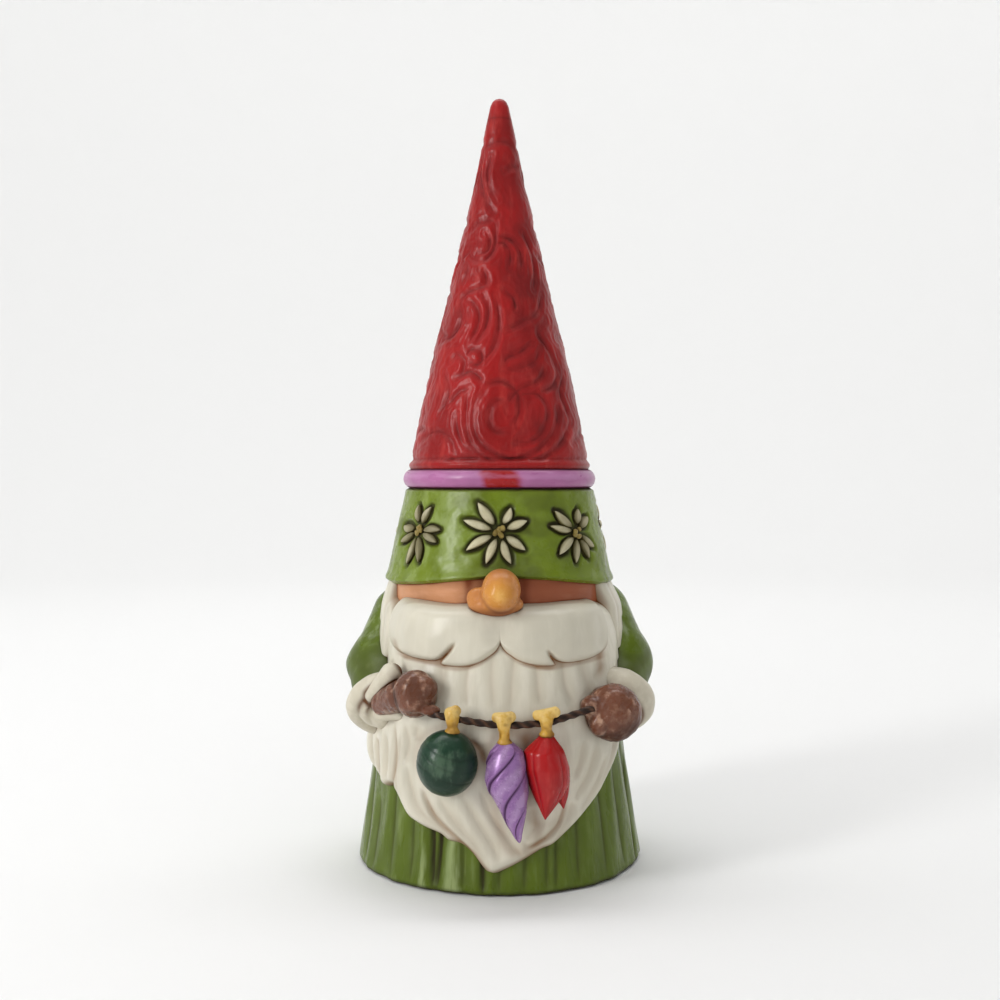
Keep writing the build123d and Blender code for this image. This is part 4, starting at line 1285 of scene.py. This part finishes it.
def make_cap(name, hang, foot, wide, lean):
    """A gilt cap: a flange on the ornament, a neck, and a loop folded over the cord."""
    hx, hy, hz = hang
    fx, fy, fz = foot

    def dents(x, y, z):
        return noise(x, y, z, 0.9, 141, 2)

    def field(x, y, z):
        neck = bar_field(x, y, z, (hx, hy - 0.3, hz), (fx, fy, fz), 0.9, 0.8)
        flange = oval_field(x, y, z, (fx, fy, fz - 0.1), (1.25, 1.2, 0.6))
        ends = (hx - wide, hy + 0.1, hz + 1.0 - lean), (hx + wide, hy + 0.1, hz + 1.1 + lean)
        loop = bar_field(x, y, z, *ends, 0.85, 0.9)
        front = oval_field(x, y, z, (hx, hy - 0.6, hz + 0.2), (1.05, 0.8, 1.5))
        f = blend_min(blend_min(neck, flange, 0.5), blend_min(loop, front, 0.5), 0.5)
        return f + 0.07 * dents(x, y, z)

    verts, quads = sculpt(field, (hx - 4.5, hy - 3.5, fz - 2), (hx + 4.5, hy + 3.5, hz + 4), 0.15)
    x, y, z = verts.T
    # Darker at the foot on the ornament and under the loop, painted shade; lighter towards the top, a painted
    # highlight
    wash = 0.8 * ramp(z, fz + 0.2, fz - 0.5) + 0.35 * ramp(z, hz, hz - 1.0)
    wash = wash + 0.8 * dents(x, y, z) - 0.1
    piece(name, verts, quads, "cap", (name,), layers_of(wash, (z - fz) / (hz + 1.5 - fz)))


def make_ball():
    cx, cy, cz = BALL_CENTRE

    def groove(x, y, z):
        """Three bowed brush lines, broken here and there."""
        u, v = x - cx, z - cz
        lines = sum(bell(v - shift + 0.3 * u - bow * (u - 0.5) ** 2, -0.4, 0.22)
                    for shift, bow in ((2.1, 0.055), (0.2, 0.05), (-1.7, 0.045)))
        return np.clip(lines, 0, 1) * ramp(noise(x, y, z, 3.5, 155, 1), -0.5, 0.2)

    def field(x, y, z):
        f = oval_field(x, y, z, BALL_CENTRE, (4.95, 4.6, 5.3))
        return f + 0.06 * groove(x, y, z) + 0.09 * noise(x, y, z, (2.4, 2.4, 1.5), 151)

    verts, quads = sculpt(field, (cx - 6, cy - 6, cz - 6), (cx + 6, cy + 6, cz + 6), 0.18)
    x, y, z = verts.T
    # A painted highlight up and to the left on the ball
    lift = np.exp(-((x - cx + 1.0) ** 2 + (z - cz - 0.8) ** 2) / 9.0)
    layers = layers_of(0.3 * groove(x, y, z), lift)
    piece("ball_ornament", verts, quads, "ball", ("ball_ornament",), layers)


def hanging(stations, relief, around=128, rows=150):
    """A hanging ornament. stations are (x, y, z, radius) down its middle line, and relief(phi, t) works on
    the radius. phi is 0 at the front, and t runs from 0 at the top to 1 at the tip."""
    s = np.array(stations, float)
    t = np.linspace(0, 1, rows)[:, None]
    level = (s[0, 2] - s[:, 2]) / (s[0, 2] - s[-1, 2])
    x, y, z, r0 = (np.interp(t, level, s[:, k]) for k in range(4))
    for line in (x, y, r0):
        for _ in range(10):
            line[1:-1] = (line[:-2] + 2 * line[1:-1] + line[2:]) / 4
    phi = (np.arange(around) * 2 * np.pi / around)[None, :]
    extra, wash, lift = relief(phi, t)
    r = np.maximum(r0 + extra * np.clip(r0 / 2.5, 0, 1), 0.02)
    verts = np.stack([x + r * np.sin(phi), y - 0.9 * r * np.cos(phi), z + 0 * r], -1)
    layers = layers_of(wash, lift, r)
    return verts.reshape(-1, 3), tube_faces(rows, around), {key: v.ravel() for key, v in layers.items()}


def make_icicle():
    stations = (
        (0.85, -27.5, 25.0, 0.9), (0.95, -27.5, 24.5, 1.6), (1.15, -27.5, 23.4, 2.65),
        (1.05, -27.7, 21.5, 3.2), (1.1, -27.9, 19.0, 3.5), (1.5, -28.1, 16.8, 3.1), (2.25, -28.2, 14.0, 2.15),
        (2.6, -28.3, 11.3, 1.2), (3.1, -28.4, 9.3, 0.45), (3.2, -28.4, 8.9, 0.12),
    )

    def relief(phi, t):
        """Four twisted strands, each rising to one edge."""
        turns = 3.1 * t + 4 * phi / (2 * np.pi) + 0.35
        phase = turns - np.floor(turns)
        cut = bell(np.minimum(phase, 1 - phase), 0, 0.06) * ramp(t, 0.05, 0.15)
        lift = ramp(phase, 0.1, 0.5) * ramp(phase, 0.95, 0.6)
        return 0.25 * (phase - 0.5) - 0.16 * cut, cut * 0.85, lift

    verts, faces, layers = hanging(stations, relief)
    piece("icicle_ornament", verts, faces, "icicle", ("icicle_ornament",), layers)


def make_bud():
    stations = (
        (7.6, -26.6, 26.1, 0.7), (7.45, -26.7, 25.3, 1.35), (7.1, -26.9, 23.3, 3.1),
        (7.55, -27.2, 20.6, 3.5), (7.95, -27.5, 18.3, 3.15), (7.8, -27.8, 16.0, 2.1),
        (7.45, -28.0, 13.6, 0.7), (7.3, -28.0, 12.5, 0.08),
    )
    side_tip = (
        (8.4, -26.6, 21.5, 0.8), (9.2, -26.8, 18.6, 2.0), (9.9, -26.9, 16.2, 1.1), (10.3, -27.0, 14.0, 0.08),
    )
    petals = 4

    def relief(phi, t):
        """Folded petals, each with a ridge down its middle."""
        phase = (phi * petals / (2 * np.pi) + 0.42 + 0.1 * t) % 1 - 0.5
        ridge = 0.5 - np.abs(phase) * 2
        cut = bell(0.5 - np.abs(phase), 0, 0.04) * ramp(t, 0.15, 0.4)
        return 0.45 * ridge - 0.04 * cut, cut * 0.3, 0.1 + ridge

    verts, faces, layers = join([hanging(stations, relief), hanging(side_tip, relief, 48, 60)])
    piece("bud_ornament", verts, faces, "bud", ("bud_ornament",), layers)


# ---------------------------------------------------------------- build
make_hat()
make_band()
make_cuff()
for number in range(len(DAISIES)):
    make_daisy(number)
make_robe()
make_beard()
for which in SIDES:
    make_moustache(which)
    make_hair(which)
    make_sleeve(which)
    make_fur(which)
make_face()
make_nose()
make_left_mitten()
make_right_mitten()
make_cord()
make_cap("ball_cap", (-7.5, -27.0, 28.5), (-7.6, -27.0, 26.4), 0.5, 0.1)
make_cap("icicle_cap", (0.7, -28.0, 27.8), (0.85, -27.6, 24.8), 1.1, 0.0)
make_cap("bud_cap", (7.5, -27.1, 28.2), (7.6, -26.8, 26.0), 1.4, 0.2)
make_ball()
make_icicle()
make_bud()

# The CAD's own solids that stay visible: the felt pad, the pins and the head core
for node_name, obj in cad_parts.items():
    if obj.hide_render:
        continue
    key = "felt" if node_name == "felt_pad" else "steel" if "pin" in node_name else "resin"
    for slot_item in obj.material_slots:
        slot_item.material = M[key]

# ---------------------------------------------------------------- floor, light and camera, in metres
FLOOR_RADIUS, SWEEP, WALL = 0.62, 0.45, 1.25


def make_stage():
    """A round white floor that sweeps up into a wall."""
    profile = [(0.05, 0.0), (FLOOR_RADIUS, 0.0)]
    for a in np.linspace(0, math.pi / 2, 24)[1:]:
        profile.append((FLOOR_RADIUS + SWEEP * math.sin(a), SWEEP * (1 - math.cos(a))))
    profile.append((FLOOR_RADIUS + SWEEP, WALL))
    around = 96
    verts = [(0.0, 0.0, 0.0)]
    for r, z in profile:
        for i in range(around):
            turn = i * 2 * math.pi / around
            verts.append((r * math.cos(turn), r * math.sin(turn), z))
    faces = [[0, 1 + i, 1 + (i + 1) % around] for i in range(around)]
    for a in range(1, 1 + (len(profile) - 1) * around, around):
        b = a + around
        faces += [[a + i, b + i, b + (i + 1) % around, a + (i + 1) % around] for i in range(around)]
    mesh = bpy.data.meshes.new("backdrop")
    mesh.from_pydata(verts, [], faces)
    mesh.polygons.foreach_set("use_smooth", [True] * len(mesh.polygons))
    mesh.materials.append(Nodes("backdrop_paper").finish(Base_Color=(0.86, 0.86, 0.855, 1), Roughness=0.9))
    floor = link(bpy.data.objects.new("backdrop", mesh))


def area_light(name, place, aim, size, power):
    data = bpy.data.lights.new(name, "AREA")
    data.shape = "RECTANGLE"
    data.size, data.size_y = size
    data.energy = power
    obj = link(bpy.data.objects.new(name, data))
    obj.location = place
    obj.rotation_euler = (Vector(aim) - Vector(place)).to_track_quat("-Z", "Y").to_euler()


make_stage()
area_light("key", (-0.41, -0.31, 0.25), (0, 0, 0.07), (0.10, 0.28), 1.3)
area_light("fill", (0.30, -0.55, 0.35), (0, 0, 0.07), (0.4, 0.4), 0.25)
area_light("top", (-0.10, -0.05, 0.80), (0, 0, 0.0), (1.1, 1.1), 3.0)
area_light("back_wash", (0.0, 0.25, 0.95), (0, 0.95, 0.0), (1.2, 0.4), 6.0)

world = bpy.data.worlds.new("studio")
world.use_nodes = True
world.node_tree.nodes["Background"].inputs["Color"].default_value = (1.0, 1.0, 1.0, 1)
world.node_tree.nodes["Background"].inputs["Strength"].default_value = 0.02
bpy.context.scene.world = world
bpy.context.scene.view_settings.view_transform = "Standard"

camera_data = bpy.data.cameras.new("camera")
camera_data.lens = 45.5
camera_data.sensor_width = 36.0
camera_data.clip_start = 0.01
camera = link(bpy.data.objects.new("camera", camera_data))
camera.location = (0.0001, -0.2267, 0.0681)
camera.rotation_euler = (math.radians(90 - 1.18), 0, 0)
bpy.context.scene.camera = camera
